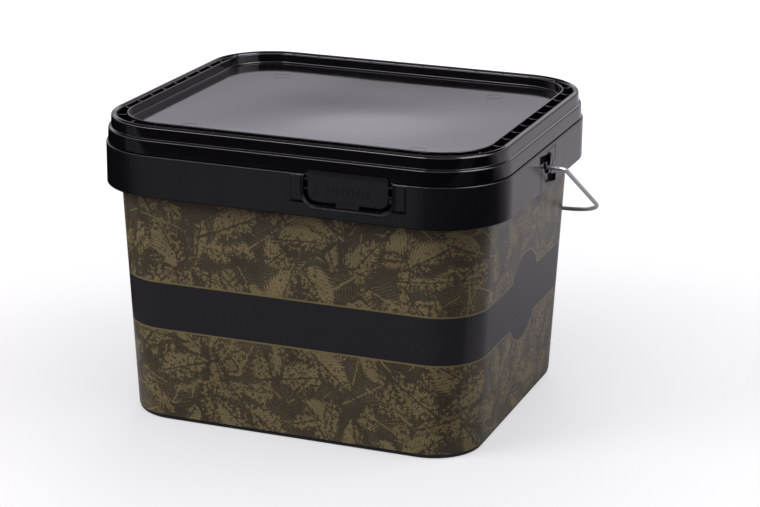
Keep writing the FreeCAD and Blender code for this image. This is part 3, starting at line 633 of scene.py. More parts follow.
panel_rings = [Ring(edge_ring.half_x * share, edge_ring.half_y * share, edge_ring.corner * share, PANEL_TOP)
               for share in [1 - step / PANEL_STEPS for step in range(1, PANEL_STEPS)]]
bm = bmesh.new()
lid_loops = sweep(bm, lid_rings + panel_rings, SIDE_CUTS)
bmesh.ops.edgeloop_fill(bm, edges=lid_loops[0])
bmesh.ops.edgeloop_fill(bm, edges=lid_loops[-1])
for (_, _, radius), loop in zip(lid_rows, lid_loops):
    if radius:
        soften(bm, loop, radius)
for vert in bm.verts:
    if abs(vert.co.z - PANEL_TOP) < SAME_SPOT:
        vert.co.z += panel_bow(vert.co.x, vert.co.y)
dress(to_object(bm, "lid_shell"), "lid", lid_black, ["lid"])

# %% [markdown]
# Thin ribs cross the gutter and keep the ridge upright. Each has a hollow top edge, which catches a line of
# light. One rib is a grid whose upper points follow an arc, given a thickness, and it is repeated along the
# four sides and in a fan round each corner.

# %% The gutter's ribs
RIB_THICKNESS = 0.6
RIB_TOP = LID_TOP - 0.8
RIB_ARCH = 10.0
RIB_BITE = 0.3
RIB_STEPS = 10
RIBS_LONG_SIDE = 8
RIBS_SHORT_SIDE = 7
RIBS_CORNER = 4
RIB_MIDDLE = (RIDGE_INNER + GUTTER_INNER) / 2
RIB_HALF = (GUTTER_INNER - RIDGE_INNER) / 2 + RIB_BITE


def add_rib(bm, spot, turn):
    """One rib across the gutter: spot is its middle, and turn the angle of the gutter's outward side."""
    made = bmesh.ops.create_grid(bm, x_segments=RIB_STEPS, y_segments=1, size=1.0)
    verts = made["verts"]
    for vert in verts:
        across = vert.co.x * RIB_HALF
        dip = math.sqrt(RIB_ARCH**2 - across**2) - math.sqrt(RIB_ARCH**2 - RIB_HALF**2)
        height = RIB_TOP - dip if vert.co.y > 0 else GUTTER_FLOOR - RIB_BITE
        vert.co = Vector((across, -RIB_THICKNESS / 2, height))
    faces = unique(face for vert in verts for face in vert.link_faces)
    grown = bmesh.ops.extrude_face_region(bm, geom=faces, use_keep_orig=True)["geom"]
    moved = of_kind(grown, bmesh.types.BMVert)
    bmesh.ops.translate(bm, vec=(0, RIB_THICKNESS, 0), verts=moved)
    place = Matrix.Translation((spot[0], spot[1], 0)) @ Matrix.Rotation(turn, 4, "Z")
    bmesh.ops.transform(bm, matrix=place, verts=verts + moved)


bm = bmesh.new()
core_x, core_y = tub_high.x - COLLAR_CORNER, tub_high.y - COLLAR_CORNER
rib_radius = COLLAR_CORNER - RIB_MIDDLE
for half_turn in (0, math.pi):
    side = math.cos(half_turn)
    for count, span, reach, lengthwise in ((RIBS_LONG_SIDE, core_x, tub_high.y, True),
                                           (RIBS_SHORT_SIDE, core_y, tub_high.x, False)):
        pitch = 2 * span / (count + 1)
        for index in range(count):
            along = pitch * (index - (count - 1) / 2)
            away = side * (reach - RIB_MIDDLE)
            spot = (along, away) if lengthwise else (away, along)
            add_rib(bm, spot, half_turn + (math.pi / 2 if lengthwise else 0))
for quarter in range(4):
    for index in range(RIBS_CORNER):
        angle = math.pi / 2 * (quarter + index / (RIBS_CORNER - 1))
        corner_angle = math.pi / 2 * (quarter + 0.5)
        centre_x = math.copysign(core_x, math.cos(corner_angle))
        centre_y = math.copysign(core_y, math.sin(corner_angle))
        spot = (centre_x + rib_radius * math.cos(angle), centre_y + rib_radius * math.sin(angle))
        add_rib(bm, spot, angle)
dress(to_object(bm, "gutter_ribs"), "lid", lid_black)

# %% [markdown]
# The pins that push the lid out of its mould leave a faint ring near each corner of the panel. Each ring is
# a thin bead: a circle, inset and pulled up by a tenth of a millimetre, laid on the bowed panel.

# %% Ejector marks
MARK_RADIUS = 6.3
MARK_WIDTH = 0.6
MARK_HEIGHT = 0.10
MARK_SIDES = 48
MARK_X = 85.0
MARK_FRONT = -92.0
MARK_BACK = 73.5
# A new ring still lies round the origin, within this distance.
MARK_NEAR = MARK_RADIUS + 1
bm = bmesh.new()
for side_x in (-1, 1):
    for mark_y in (MARK_FRONT, MARK_BACK):
        disc = bmesh.ops.create_circle(bm, cap_ends=True, segments=MARK_SIDES, radius=MARK_RADIUS)["verts"]
        face = disc[0].link_faces[0]
        for depth in (MARK_HEIGHT, -MARK_HEIGHT):
            bmesh.ops.inset_region(bm, faces=[face], thickness=MARK_WIDTH / 2, depth=depth, use_boundary=True)
        ring_verts = [vert for vert in bm.verts if max(abs(vert.co.x), abs(vert.co.y)) <= MARK_NEAR]
        bmesh.ops.delete(bm, geom=[face], context="FACES_ONLY")
        bmesh.ops.translate(bm, vec=(side_x * MARK_X, mark_y, PANEL_TOP), verts=ring_verts)
for vert in bm.verts:
    vert.co.z += panel_bow(vert.co.x, vert.co.y)
dress(to_object(bm, "panel_marks"), "lid", lid_black)

# %% [markdown]
# The tub is one moulding too: a foot ring, a wall that widens upwards, a deck, a collar that hangs from it
# and a rim with a bead that the lid grips. It is swept like the lid, from the middle of the underside to
# the floor inside. Each row is a ring with the radius of its rounding.

# %% The tub's shell
BASE_HALF_X = 130.8
BASE_HALF_Y = 113.8
BASE_CORNER = 36.0
WALL_TAPER = 0.04
WALL_THICKNESS = 2.0
FOOT_HEIGHT = 3.0
FOOT_WIDTH = 9.0
FLOOR_TOP = 5.4
COLLAR_BOTTOM = 171.0
COLLAR_THICKNESS = 2.2
DECK_TOP = 201.0
DECK_UNDER = 198.6
RIM_INSET = 5.4
RIM_THICKNESS = 1.4
BEAD_INSET = 4.5
BEAD_LOW = 206.5
BEAD_HIGH = 208.5
RIM_TOP = tub_high.z


def wall(height, outwards=0.0):
    """The tapered wall's outline at a height, moved outwards."""
    grow = WALL_TAPER * height + outwards
    return Ring(BASE_HALF_X + grow, BASE_HALF_Y + grow, BASE_CORNER + outwards, height)


tub_rows = [
    (wall(0, -FOOT_WIDTH)._replace(height=FOOT_HEIGHT), 0.0),
    (wall(0, -FOOT_WIDTH), 0.8),
    (wall(0), 2.0),
    (wall(DECK_UNDER), 0.0),
    (inset(COLLAR_THICKNESS, DECK_UNDER), 0.0),
    (inset(COLLAR_THICKNESS, COLLAR_BOTTOM), 0.4),
    (inset(0, COLLAR_BOTTOM), 0.8),
    (inset(0, DECK_TOP), 0.7),
    (inset(RIM_INSET, DECK_TOP), 0.5),
    (inset(RIM_INSET, BEAD_LOW), 0.0),
    (inset(BEAD_INSET, BEAD_LOW), 0.3),
    (inset(BEAD_INSET, BEAD_HIGH), 0.3),
    (inset(RIM_INSET, BEAD_HIGH), 0.0),
    (inset(RIM_INSET, RIM_TOP), 0.4),
    (inset(RIM_INSET + RIM_THICKNESS, RIM_TOP), 0.4),
    (inset(RIM_INSET + RIM_THICKNESS, DECK_TOP), 0.5),
    (wall(DECK_TOP, -WALL_THICKNESS), 0.8),
    (wall(FLOOR_TOP, -WALL_THICKNESS), 1.5),
]
bm = bmesh.new()
tub_loops = sweep(bm, [ring for ring, _ in tub_rows])
bmesh.ops.edgeloop_fill(bm, edges=tub_loops[0])
bmesh.ops.edgeloop_fill(bm, edges=tub_loops[-1])
for (_, radius), loop in zip(tub_rows, tub_loops):
    if radius:
        soften(bm, loop, radius)
tub_shell = to_object(bm, "tub_shell")
print("tub swept in", len(tub_rows), "rings")

# %% [markdown]
# The collar is pierced: an ear with a hole for the wire in each short side, and a framed opening for the flap
# in front. Such cuts cross the sweep's faces anywhere, so a Boolean with simple tools is the clear way to
# make them. The tools are plates with round corners, cylinders and blocks.

# %% Tools for the cuts
EAR_Z = 186.0
EAR_DISH = 11.0
EAR_DISH_DEPTH = 1.2
EAR_SEAT = 7.5
EAR_SEAT_SHIFT = 2.6
EAR_SINK = 4.2
EAR_BOSS = 5.0
EAR_BOSS_LENGTH = 4.8
HOLE_RADIUS = 1.65
# A window is its y at both ends and the heights of its lower edge there.
WINDOW_HEIGHT = 5.5
HIGH_WINDOW = ((-20.0, 6.0), (192.6, 189.4))
LOW_WINDOW = ((4.0, 20.0), (174.6, 171.4))
# Thin lines where the mould's slides meet: two corners each, as y and z.
SLIDE_LINE = 0.5
SLIDE_LINES = (
    ((-7.0, 198.3), (17.0, 198.3)),
    ((17.0, 187.0), (17.0, 198.3)),
    ((-15.3, 171.0), (-15.3, 190.0)),
)
ROUND_STEPS = 40
TONGUE_STEPS = 10
# How far a cutting tool stands out of what it cuts.
OVER = 1.0


def add_block(bm, low, high):
    """A box between two corners."""
    verts = bmesh.ops.create_cube(bm, size=1.0)["verts"]
    low, high = Vector(low), Vector(high)
    bmesh.ops.scale(bm, vec=high - low, verts=verts)
    bmesh.ops.translate(bm, vec=(low + high) / 2, verts=verts)
    return verts


def add_rod(bm, radius, start, end, y, z):
    """A cylinder along X."""
    verts = bmesh.ops.create_cone(bm, cap_ends=True, segments=ROUND_STEPS, radius1=radius, radius2=radius,
                                  depth=end - start)["verts"]
    turn = Matrix.Rotation(math.pi / 2, 4, "Y")
    bmesh.ops.transform(bm, matrix=Matrix.Translation(((start + end) / 2, y, z)) @ turn, verts=verts)


def add_window(bm, ends, lows, height, start, end):
    """A block along X whose lower and upper edges slope from one end to the other."""
    verts = add_block(bm, (start, ends[0], 0), (end, ends[1], height))
    for vert in verts:
        vert.co.z += lows[0] if abs(vert.co.y - ends[0]) < SAME_SPOT else lows[1]


def add_tongue(bm, left, right, bottom, top, corner, front, back):
    """An upright plate whose two lower corners are round."""
    verts = bmesh.ops.create_grid(bm, x_segments=1, y_segments=1, size=0.5)["verts"]
    bmesh.ops.scale(bm, vec=(right - left, top - bottom, 1.0), verts=verts)
    bmesh.ops.translate(bm, vec=((left + right) / 2, (bottom + top) / 2, 0), verts=verts)
    low = [vert for vert in verts if vert.co.y < (bottom + top) / 2]
    rounded = bmesh.ops.bevel(bm, geom=low, offset=corner, offset_type="OFFSET", segments=TONGUE_STEPS,
                              profile=0.5, affect="VERTICES", material=-1)
    outline = unique([vert for vert in verts if vert.is_valid] + rounded["verts"])
    face = outline[0].link_faces[0]
    upright = Matrix.Translation((0, front, 0)) @ Matrix.Rotation(math.pi / 2, 4, "X")
    bmesh.ops.transform(bm, matrix=upright, verts=outline)
    grown = bmesh.ops.extrude_face_region(bm, geom=[face], use_keep_orig=True)["geom"]
    bmesh.ops.translate(bm, vec=(0, back - front, 0), verts=of_kind(grown, bmesh.types.BMVert))


def carve(shell, tools, operation):
    """Joins tools to a shell or cuts them out of it."""
    tool = to_object(tools, "tool")
    step = shell.modifiers.new("carve", "BOOLEAN")
    step.operation = operation
    step.solver = "EXACT"
    step.use_self = True
    step.object = tool
    cut = bpy.data.meshes.new_from_object(shell.evaluated_get(bpy.context.evaluated_depsgraph_get()))
    shell.modifiers.remove(step)
    cut.name = shell.name
    shell.data = cut
    bpy.data.objects.remove(tool)
    print(shell.name, operation.lower(), "now", len(cut.polygons), "faces")


print("ears at z", EAR_Z, "mm")

# %% [markdown]
# The flap's opening has a frame round it, with a groove along its middle, and a low raised pad on each side.
# The frame's plates all have the opening's outline, grown by more or less. A pad is a grid that is raised by
# soft steps from its foot and its outer side, so its edges fade into the collar.

# %% The flap's frame and pads
FLAP_MIDDLE = 50.8
FLAP_HALF = 29.1
FLAP_TOP = 202.3
FLAP_BOTTOM = FLAP_TOP - 19.7
FLAP_SLOT = 2.8
FLAP_CORNER = 6.0
FRAME_WIDTH = 2.3
FRAME_PROUD = 0.8
FRAME_TOP = DECK_TOP - 1.0
# The frame's groove lies between two lips.
LIP_INNER = 0.7
LIP_OUTER = 1.5
GROOVE_DEPTH = 0.6
PAD_WIDTH = 7.6
PAD_UNDER_FRAME = 5.0
PAD_BOTTOM = 180.4
PAD_TOP = 200.1
PAD_PROUD = 0.54
PAD_SIDE = 1.2
PAD_RAMP = 2.4
PAD_STEPS = (24, 26)
PAD_SUNK = 0.03
PAD_ROOT = 1.0
FRONT = -tub_high.y
opening_half = FLAP_HALF + FLAP_SLOT
opening_left, opening_right = FLAP_MIDDLE - opening_half, FLAP_MIDDLE + opening_half
opening_bottom = FLAP_BOTTOM - FLAP_SLOT
opening_corner = FLAP_CORNER + FLAP_SLOT


def flap_plate(bm, grown, front, back, top=FRAME_TOP):
    """A plate with the outline of the flap's opening, grown at its sides and foot."""
    add_tongue(bm, opening_left - grown, opening_right + grown, opening_bottom - grown, top,
               opening_corner + grown, front, back)


def smooth_share(value):
    """Runs from 0 to 1 with a soft start and end."""
    share = max(0.0, min(1.0, value))
    return share * share * (3 - 2 * share)


def add_pad(bm, outer, inner):
    """A low raised pad on the collar's front between two values of x."""
    verts = bmesh.ops.create_grid(bm, x_segments=PAD_STEPS[0], y_segments=PAD_STEPS[1], size=0.5)["verts"]
    faces = unique(face for vert in verts for face in vert.link_faces)
    for vert in verts:
        x = outer + (inner - outer) * (vert.co.x + 0.5)
        z = PAD_BOTTOM + (PAD_TOP - PAD_BOTTOM) * (vert.co.y + 0.5)
        share = smooth_share(abs(x - outer) / PAD_SIDE) * smooth_share((z - PAD_BOTTOM) / PAD_RAMP)
        vert.co = Vector((x, FRONT + PAD_SUNK - (PAD_PROUD + PAD_SUNK) * share, z))
    grown = bmesh.ops.extrude_face_region(bm, geom=faces, use_keep_orig=True)["geom"]
    for vert in of_kind(grown, bmesh.types.BMVert):
        vert.co.y = FRONT + PAD_ROOT


print("opening, mm:", round(2 * opening_half, 1), "wide, frame", FRAME_WIDTH, "wide")

# %% [markdown]
# The cuts are made in five steps, because a later tool has to meet what an earlier one left. First come the
# parts that stand proud, then the ears' dishes and the frame's groove, then the ears' seats and the frame's
# inner lip, then the windows and slide lines, and last the holes that go right through.

# %% Ears and flap opening
# How deep an added form reaches into the collar, so that the join closes.
BOSS_ROOT = 1.5
FRAME_ROOT = 1.5
SEAT_ROOT = 0.3
# A seat's face lies this far under the collar's, so that the two don't lie in one plane.
SEAT_SUNK = 0.02
WINDOW_OVER = 0.4
SIDES = (-1, 1)
collar_face = tub_high.x
skin_back = collar_face - COLLAR_THICKNESS
dish_bottom = collar_face - EAR_DISH_DEPTH
frame_front = FRONT - FRAME_PROUD


def side_ends(side, first, second):
    """Two distances from the middle as low and high x on one side."""
    return sorted((side * first, side * second))


bm = bmesh.new()
for side in SIDES:
    add_rod(bm, EAR_BOSS, *side_ends(side, skin_back - EAR_BOSS_LENGTH, collar_face - BOSS_ROOT), 0.0, EAR_Z)
flap_plate(bm, FRAME_WIDTH, frame_front, FRONT + FRAME_ROOT)
for side, frame_edge in ((-1, opening_left - FRAME_WIDTH), (1, opening_right + FRAME_WIDTH)):
    add_pad(bm, frame_edge + side * PAD_WIDTH, frame_edge - side * PAD_UNDER_FRAME)
carve(tub_shell, bm, "UNION")

bm = bmesh.new()
for side in SIDES:
    add_rod(bm, EAR_DISH, *side_ends(side, dish_bottom, collar_face + OVER), 0.0, EAR_Z)
flap_plate(bm, LIP_OUTER, frame_front - OVER, frame_front + GROOVE_DEPTH, DECK_TOP + OVER)
carve(tub_shell, bm, "DIFFERENCE")

bm = bmesh.new()
for side in SIDES:
    seat = side_ends(side, dish_bottom - SEAT_ROOT, collar_face - SEAT_SUNK)
    add_rod(bm, EAR_SEAT, *seat, EAR_SEAT_SHIFT, EAR_Z + EAR_SEAT_SHIFT)
flap_plate(bm, LIP_INNER, frame_front, FRONT + FRAME_ROOT)
carve(tub_shell, bm, "UNION")

bm = bmesh.new()
half_line = SLIDE_LINE / 2
for side in SIDES:
    add_rod(bm, EAR_SINK, *side_ends(side, dish_bottom, collar_face + OVER), 0.0, EAR_Z)
    for window_ends, lows in (HIGH_WINDOW, LOW_WINDOW):
        skin = side_ends(side, skin_back - WINDOW_OVER, collar_face + OVER)
        add_window(bm, window_ends, lows, WINDOW_HEIGHT, *skin)
    low_x, high_x = side_ends(side, collar_face - SLIDE_LINE, collar_face + OVER)
    for (y_low, z_low), (y_high, z_high) in SLIDE_LINES:
        low_corner = (low_x, y_low - half_line, z_low - half_line)
        add_block(bm, low_corner, (high_x, y_high + half_line, z_high + half_line))
carve(tub_shell, bm, "DIFFERENCE")

bm = bmesh.new()
for side in SIDES:
    through = side_ends(side, skin_back - EAR_BOSS_LENGTH - OVER, collar_face + OVER)
    add_rod(bm, HOLE_RADIUS, *through, 0.0, EAR_Z)
flap_plate(bm, 0.0, frame_front - OVER, FRONT + COLLAR_THICKNESS, DECK_TOP + OVER)
carve(tub_shell, bm, "DIFFERENCE")

# %% [markdown]
# The pads fade softly into the collar's face, and that face is one large polygon, so their soft shading would
# spread over all of it. Three cuts close to the pads keep the shading there and the rest of the face flat.

# %% Cut the collar's face beside the pads
PAD_MARGIN = 0.8
FACE_DEPTH = 0.5
pads_left = opening_left - FRAME_WIDTH - PAD_WIDTH - PAD_MARGIN
pads_right = opening_right + FRAME_WIDTH + PAD_WIDTH + PAD_MARGIN
# Each cut is a point of its plane and the plane's direction.
pad_cuts = (
    ((pads_left, 0, 0), (1, 0, 0)),
    ((pads_right, 0, 0), (1, 0, 0)),
    ((0, 0, PAD_BOTTOM - PAD_MARGIN), (0, 0, 1)),
)
bm = bmesh.new()
bm.from_mesh(tub_shell.data)
for spot, way in pad_cuts:
    front_faces = [face for face in bm.faces if face.calc_center_median().y < (FRONT + FACE_DEPTH) * MM]
    front_edges = unique(edge for face in front_faces for edge in face.edges)
    front_verts = unique(vert for face in front_faces for vert in face.verts)
    bmesh.ops.bisect_plane(bm, geom=front_faces + front_edges + front_verts, dist=SAME_SPOT * MM,
                           plane_co=Vector(spot) * MM, plane_no=way)
bm.to_mesh(tub_shell.data)
bm.free()
print("collar's front cut in", len(pad_cuts), "planes")

# %% [markdown]
# A moulded edge is never razor-sharp. A small Bevel modifier rounds every edge that the cuts left,
# and its highlight is what makes the frame and the windows readable in black on black.

# %% Round the cut edges
EDGE_WIDTH = 0.25
EDGE_SEGMENTS = 2
EDGE_ANGLE = math.radians(40)
rounding = tub_shell.modifiers.new("moulded_edges", "BEVEL")
rounding.width = EDGE_WIDTH * MM
rounding.segments = EDGE_SEGMENTS
rounding.limit_method = "ANGLE"
rounding.angle_limit = EDGE_ANGLE
rounding.use_clamp_overlap = False
dress(tub_shell, "tub", tub_black, ["tub"])

# %% [markdown]
# Behind each window a thin plate against the inside of the collar, dull and black, is painted shade:
# it stands for the end of the blind pocket that the mould leaves, which hardly any light reaches.

# %% The ear pockets' painted shade
POCKET_MARGIN = 1.2
POCKET_THICKNESS = 0.8
POCKET_ROUND = 0.15
POCKET_SHADE_TONES = (0.0010, 0.0022)
POCKET_ROUGHNESS = (0.80, 0.95)


def painted_pocket_shade():
    """Painted shade: dull black with a trace of grain, for the pocket's unlit end."""
    finish = Finish("painted_pocket_shade")
    finish.set(Specular_IOR_Level=0.05)
    grain = finish.noise(finish.object_place(), GRAIN_SCALE, 2.0)
    # Near-black base colour: painted shade for the pocket's unlit end.
    finish.drive("Base Color", finish.mix(grain, grey(POCKET_SHADE_TONES[0]), grey(POCKET_SHADE_TONES[1])))
    finish.drive("Roughness", finish.range(grain, *NOISE_SPREAD, *POCKET_ROUGHNESS))
    return finish


bm = bmesh.new()
for side in SIDES:
    for window_ends, lows in (HIGH_WINDOW, LOW_WINDOW):
        wide_ends = (window_ends[0] - POCKET_MARGIN, window_ends[1] + POCKET_MARGIN)
        wide_lows = (lows[0] - POCKET_MARGIN, lows[1] - POCKET_MARGIN)
        add_window(bm, wide_ends, wide_lows, WINDOW_HEIGHT + 2 * POCKET_MARGIN,
                   *side_ends(side, skin_back, skin_back - POCKET_THICKNESS))
soften(bm, bm.edges[:], POCKET_ROUND, 2)
dress(to_object(bm, "ear_pocket_shade"), "tub", painted_pocket_shade())

# %% [markdown]
# The print is a thin film that lies in the mould when the tub is shot, so it hugs the wall with hardly any
# edge. Its pattern has to run round the corners without stretching, so the band gets a UV map of its own in
# metres: the way round the outline, and the height. The seam is in the middle of the back.

# %% The printed film's band
WRAP_GAP = 0.1
WRAP_THICKNESS = 0.3
WRAP_STEPS = 8
wrap_low, wrap_high = (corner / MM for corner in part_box("label_wrap"))
wrap_out = WRAP_GAP + WRAP_THICKNESS
wrap_heights = [wrap_low.z + (wrap_high.z - wrap_low.z) * step / WRAP_STEPS for step in range(WRAP_STEPS + 1)]
wrap_rings = [wall(wrap_low.z, WRAP_GAP)]
wrap_rings += [wall(height, wrap_out) for height in wrap_heights]
wrap_rings += [wall(wrap_high.z, WRAP_GAP), wall(wrap_low.z, WRAP_GAP)]


def lay_out_wrap(bm, height):
    """Writes the wrap's UV map, measured on the ring at a height, and returns the way round in mm."""
    number = bm.verts.layers.int["outline_number"]
    ring = {vert[number]: vert for vert in bm.verts if abs(vert.co.z - height) < SAME_SPOT}
    count = len(ring)
    start = max(ring, key=lambda index: ring[index].co.y - abs(ring[index].co.x))
    order = [(start + step) % count for step in range(count)]
    distance = {}
    travelled = 0.0
    for here, there in zip(order, order[1:] + order[:1]):
        distance[here] = travelled
        travelled += (ring[there].co - ring[here].co).length
    layer = bm.loops.layers.uv.new("wrap")
    for face in bm.faces:
        last_strip = {start, order[-1]} <= {vert[number] for vert in face.verts}
        for loop in face.loops:
            index = loop.vert[number]
            along = travelled if last_strip and index == start else distance[index]
            loop[layer].uv = (along * MM, loop.vert.co.z * MM)
    return travelled


bm = bmesh.new()
sweep(bm, wrap_rings, SIDE_CUTS)
bmesh.ops.remove_doubles(bm, verts=bm.verts, dist=SAME_SPOT)
wrap_way = lay_out_wrap(bm, wrap_heights[WRAP_STEPS // 2])
print_wrap = to_object(bm, "print_wrap")
print("way round the wrap, mm:", round(wrap_way, 1))

# %% [markdown]
# The print is a two-tone camouflage of leaves, dark brown and khaki, with a plain charcoal band and disc.
# A leaf is drawn from a Voronoi cell: the cell's point is the leaf's middle, and the cell's random colour
# turns it and says how full it is. A comb of slanted side veins cuts teeth into the leaf's edge and dark
# lines into a full leaf, and a sparse leaf is only its veins. Speckle eats into the ink, as on a worn block.

# %% One scatter of leaves
CELL_RANDOMNESS = 0.7
# Shape of a leaf: how its sides close, and how far its belly sits towards the stem.
LEAF_CLOSE = 0.7
LEAF_LEAN = -0.4
LEAF_EDGE = 0.03
TOOTH_DEPTH = 0.34
TOOTH_ROOT = 0.80
VEIN_LEAN = 0.95
SIDE_VEIN = (0.03, 0.08)
RIB_HALF_WIDTH = 0.022
RIB_SOFT = 0.012
# Ink: how much of it a leaf takes, how it differs from leaf to leaf, and where speckle opens it.
FULL_SHARE = 0.62
INK_EDGE = 0.10
INK_BIAS = -0.22
INK_CORE = 0.35
SPECK_BITE = 4.2
WEAR_SPREAD = 1.3
WEAR_MIDDLE = 0.62
LINE_WEAR = (-0.10, -0.06)
# A full leaf keeps a narrow margin clear round it.
CLEAR_MARGIN = (-0.10, -0.07)


def ink_leaves(finish, place, specks, spacing, offset, half, slim, teeth):
    """Ink of one scatter of leaves and what it covers, 0 to 1. Lengths but the spacing are shares of it."""
    inputs = {"Vector": place, "Scale": (1 / spacing, 1 / spacing, 0), "Location": offset}
    grid = finish.node("Mapping", inputs).outputs[0]
    inputs = {"Vector": grid, "Scale": 1.0, "Randomness": CELL_RANDOMNESS}
    leaf_cell = finish.node("TexVoronoi", inputs, voronoi_dimensions="2D").outputs
    dice = finish.node("SeparateColor", {"Color": leaf_cell["Color"]}).outputs
    local = finish.vector("SUBTRACT", grid, leaf_cell["Position"])
    angle = finish.math("MULTIPLY", dice[0], 2 * math.pi)
    turned = finish.node("VectorRotate", {"Vector": local, "Angle": angle}, rotation_type="Z_AXIS").outputs[0]
    axes = finish.node("SeparateXYZ", {"Vector": turned}).outputs
    along = finish.math("DIVIDE", axes[0], half)
    away = finish.math("DIVIDE", finish.math("ABSOLUTE", axes[1]), half)

    vein_way = finish.math("MULTIPLY", finish.math("MULTIPLY_ADD", away, -VEIN_LEAN, along), teeth)
    tooth = finish.math("MULTIPLY_ADD", finish.math("FRACT", vein_way), TOOTH_DEPTH, TOOTH_ROOT)
    room = finish.math("SUBTRACT", 1.0, finish.math("MULTIPLY", along, along), clamp=True)
    lean = finish.math("MULTIPLY_ADD", along, LEAF_LEAN, 1.0)
    belly = finish.math("MULTIPLY", finish.math("POWER", room, LEAF_CLOSE), lean)
    belly = finish.math("MULTIPLY", belly, tooth)
    inside = finish.math("SUBTRACT", belly, finish.math("DIVIDE", away, slim))

    rib = finish.range(away, RIB_HALF_WIDTH, RIB_HALF_WIDTH + RIB_SOFT, 1.0, 0.0)
    side_vein = finish.range(finish.math("PINGPONG", vein_way, 0.5), *SIDE_VEIN, 1.0, 0.0)
    on_leaf = finish.range(inside, 0.0, LEAF_EDGE, 0.0, 1.0)
    stem = finish.math("MULTIPLY", rib, finish.math("LESS_THAN", finish.math("ABSOLUTE", along), 1.0))
    lines = finish.math("MAXIMUM", finish.math("MULTIPLY", side_vein, on_leaf), stem)

    worn = finish.math("MULTIPLY_ADD", finish.math("SUBTRACT", dice[2], 0.5), WEAR_SPREAD, WEAR_MIDDLE)
    fade = finish.math("MULTIPLY_ADD", finish.math("MULTIPLY", axes[1], 1 / half), worn, INK_BIAS)
    took = finish.math("ADD", finish.math("MULTIPLY", specks, SPECK_BITE), fade)
    took = finish.math("ADD", took, finish.math("MINIMUM", inside, INK_CORE))
    took = finish.range(took, 0.0, INK_EDGE, 0.0, 1.0)
    between_lines = finish.math("SUBTRACT", 1.0, lines)
    full_ink = finish.math("MULTIPLY", finish.math("MULTIPLY", on_leaf, took), between_lines)
    line_ink = finish.math("MULTIPLY", lines, finish.range(specks, *LINE_WEAR, 0.0, 1.0))
    is_full = finish.math("LESS_THAN", dice[1], FULL_SHARE)
    ink = finish.math("MULTIPLY_ADD", is_full, finish.math("SUBTRACT", full_ink, line_ink), line_ink)
    cleared = finish.math("MULTIPLY", is_full, finish.range(inside, *CLEAR_MARGIN, 0.0, 1.0))
    return ink, finish.math("MAXIMUM", ink, cleared)


print("leaves:", FULL_SHARE, "of them full")

# %% [markdown]
# The scatters are laid over each other like sheets of ink, so leaves in front cover those behind. The band,
# the disc and the thin olive line round both are distances from a level and from a point, in the film's own
# map. Above them a charcoal margin runs behind the collar: painted shade, so the print seen through the
# ears' low windows reads dark.

# %% The printed film's finish
KHAKI = (0.152, 0.118, 0.060, 1.0)
KHAKI_WORN = (0.122, 0.097, 0.050, 1.0)
BROWN = (0.047, 0.038, 0.026, 1.0)
BROWN_DEEP = (0.037, 0.030, 0.021, 1.0)
CHARCOAL = (0.0165, 0.0157, 0.0185, 1.0)
OLIVE_LINE = (0.120, 0.096, 0.045, 1.0)
# Each scatter: spacing in mm, its shift, then half length, width and teeth of its leaves.
SCATTERS = (
    (27.0, (9.7, 6.2, 0), 0.50, 0.60, 5.0),
    (35.0, (5.1, 2.4, 0), 0.52, 0.44, 7.0),
    (42.0, (0.3, 0.7, 0), 0.50, 0.66, 6.0),
    (33.0, (3.8, 8.9, 0), 0.50, 0.36, 8.0),
    (47.0, (7.3, 4.1, 0), 0.44, 0.58, 7.0),
)
BAND_MIDDLE = 87.5
BAND_HALF = 17.4
DISC_RADIUS = 33.0
DISC_HEIGHT = 89.0
# The disc's middle, as a share of the way round: the middle of the right side.
DISC_SHARE = 0.75
LINE_WIDTH = 1.2
LINE_EDGE = 0.12
SHADED_MARGIN_HEIGHT = 172.5
# The noises: scale per mm, detail and roughness.
WOBBLE = 3.0
WOBBLE_NOISE = (0.22, 4.0, 0.6)
SPECK_NOISE = (0.34, 6.0, 0.70)
LOOSE_SPECKS = (0.13, 0.15)
PATCH_SCALE = 0.03
PATCH_SPREAD = (0.35, 0.65)
FILM_GRAIN = 1.6
FILM_ROUGHNESS = (0.22, 0.32)
FILM_BUMP = (0.0003, 0.06)
FILM_GLOSS = 0.22


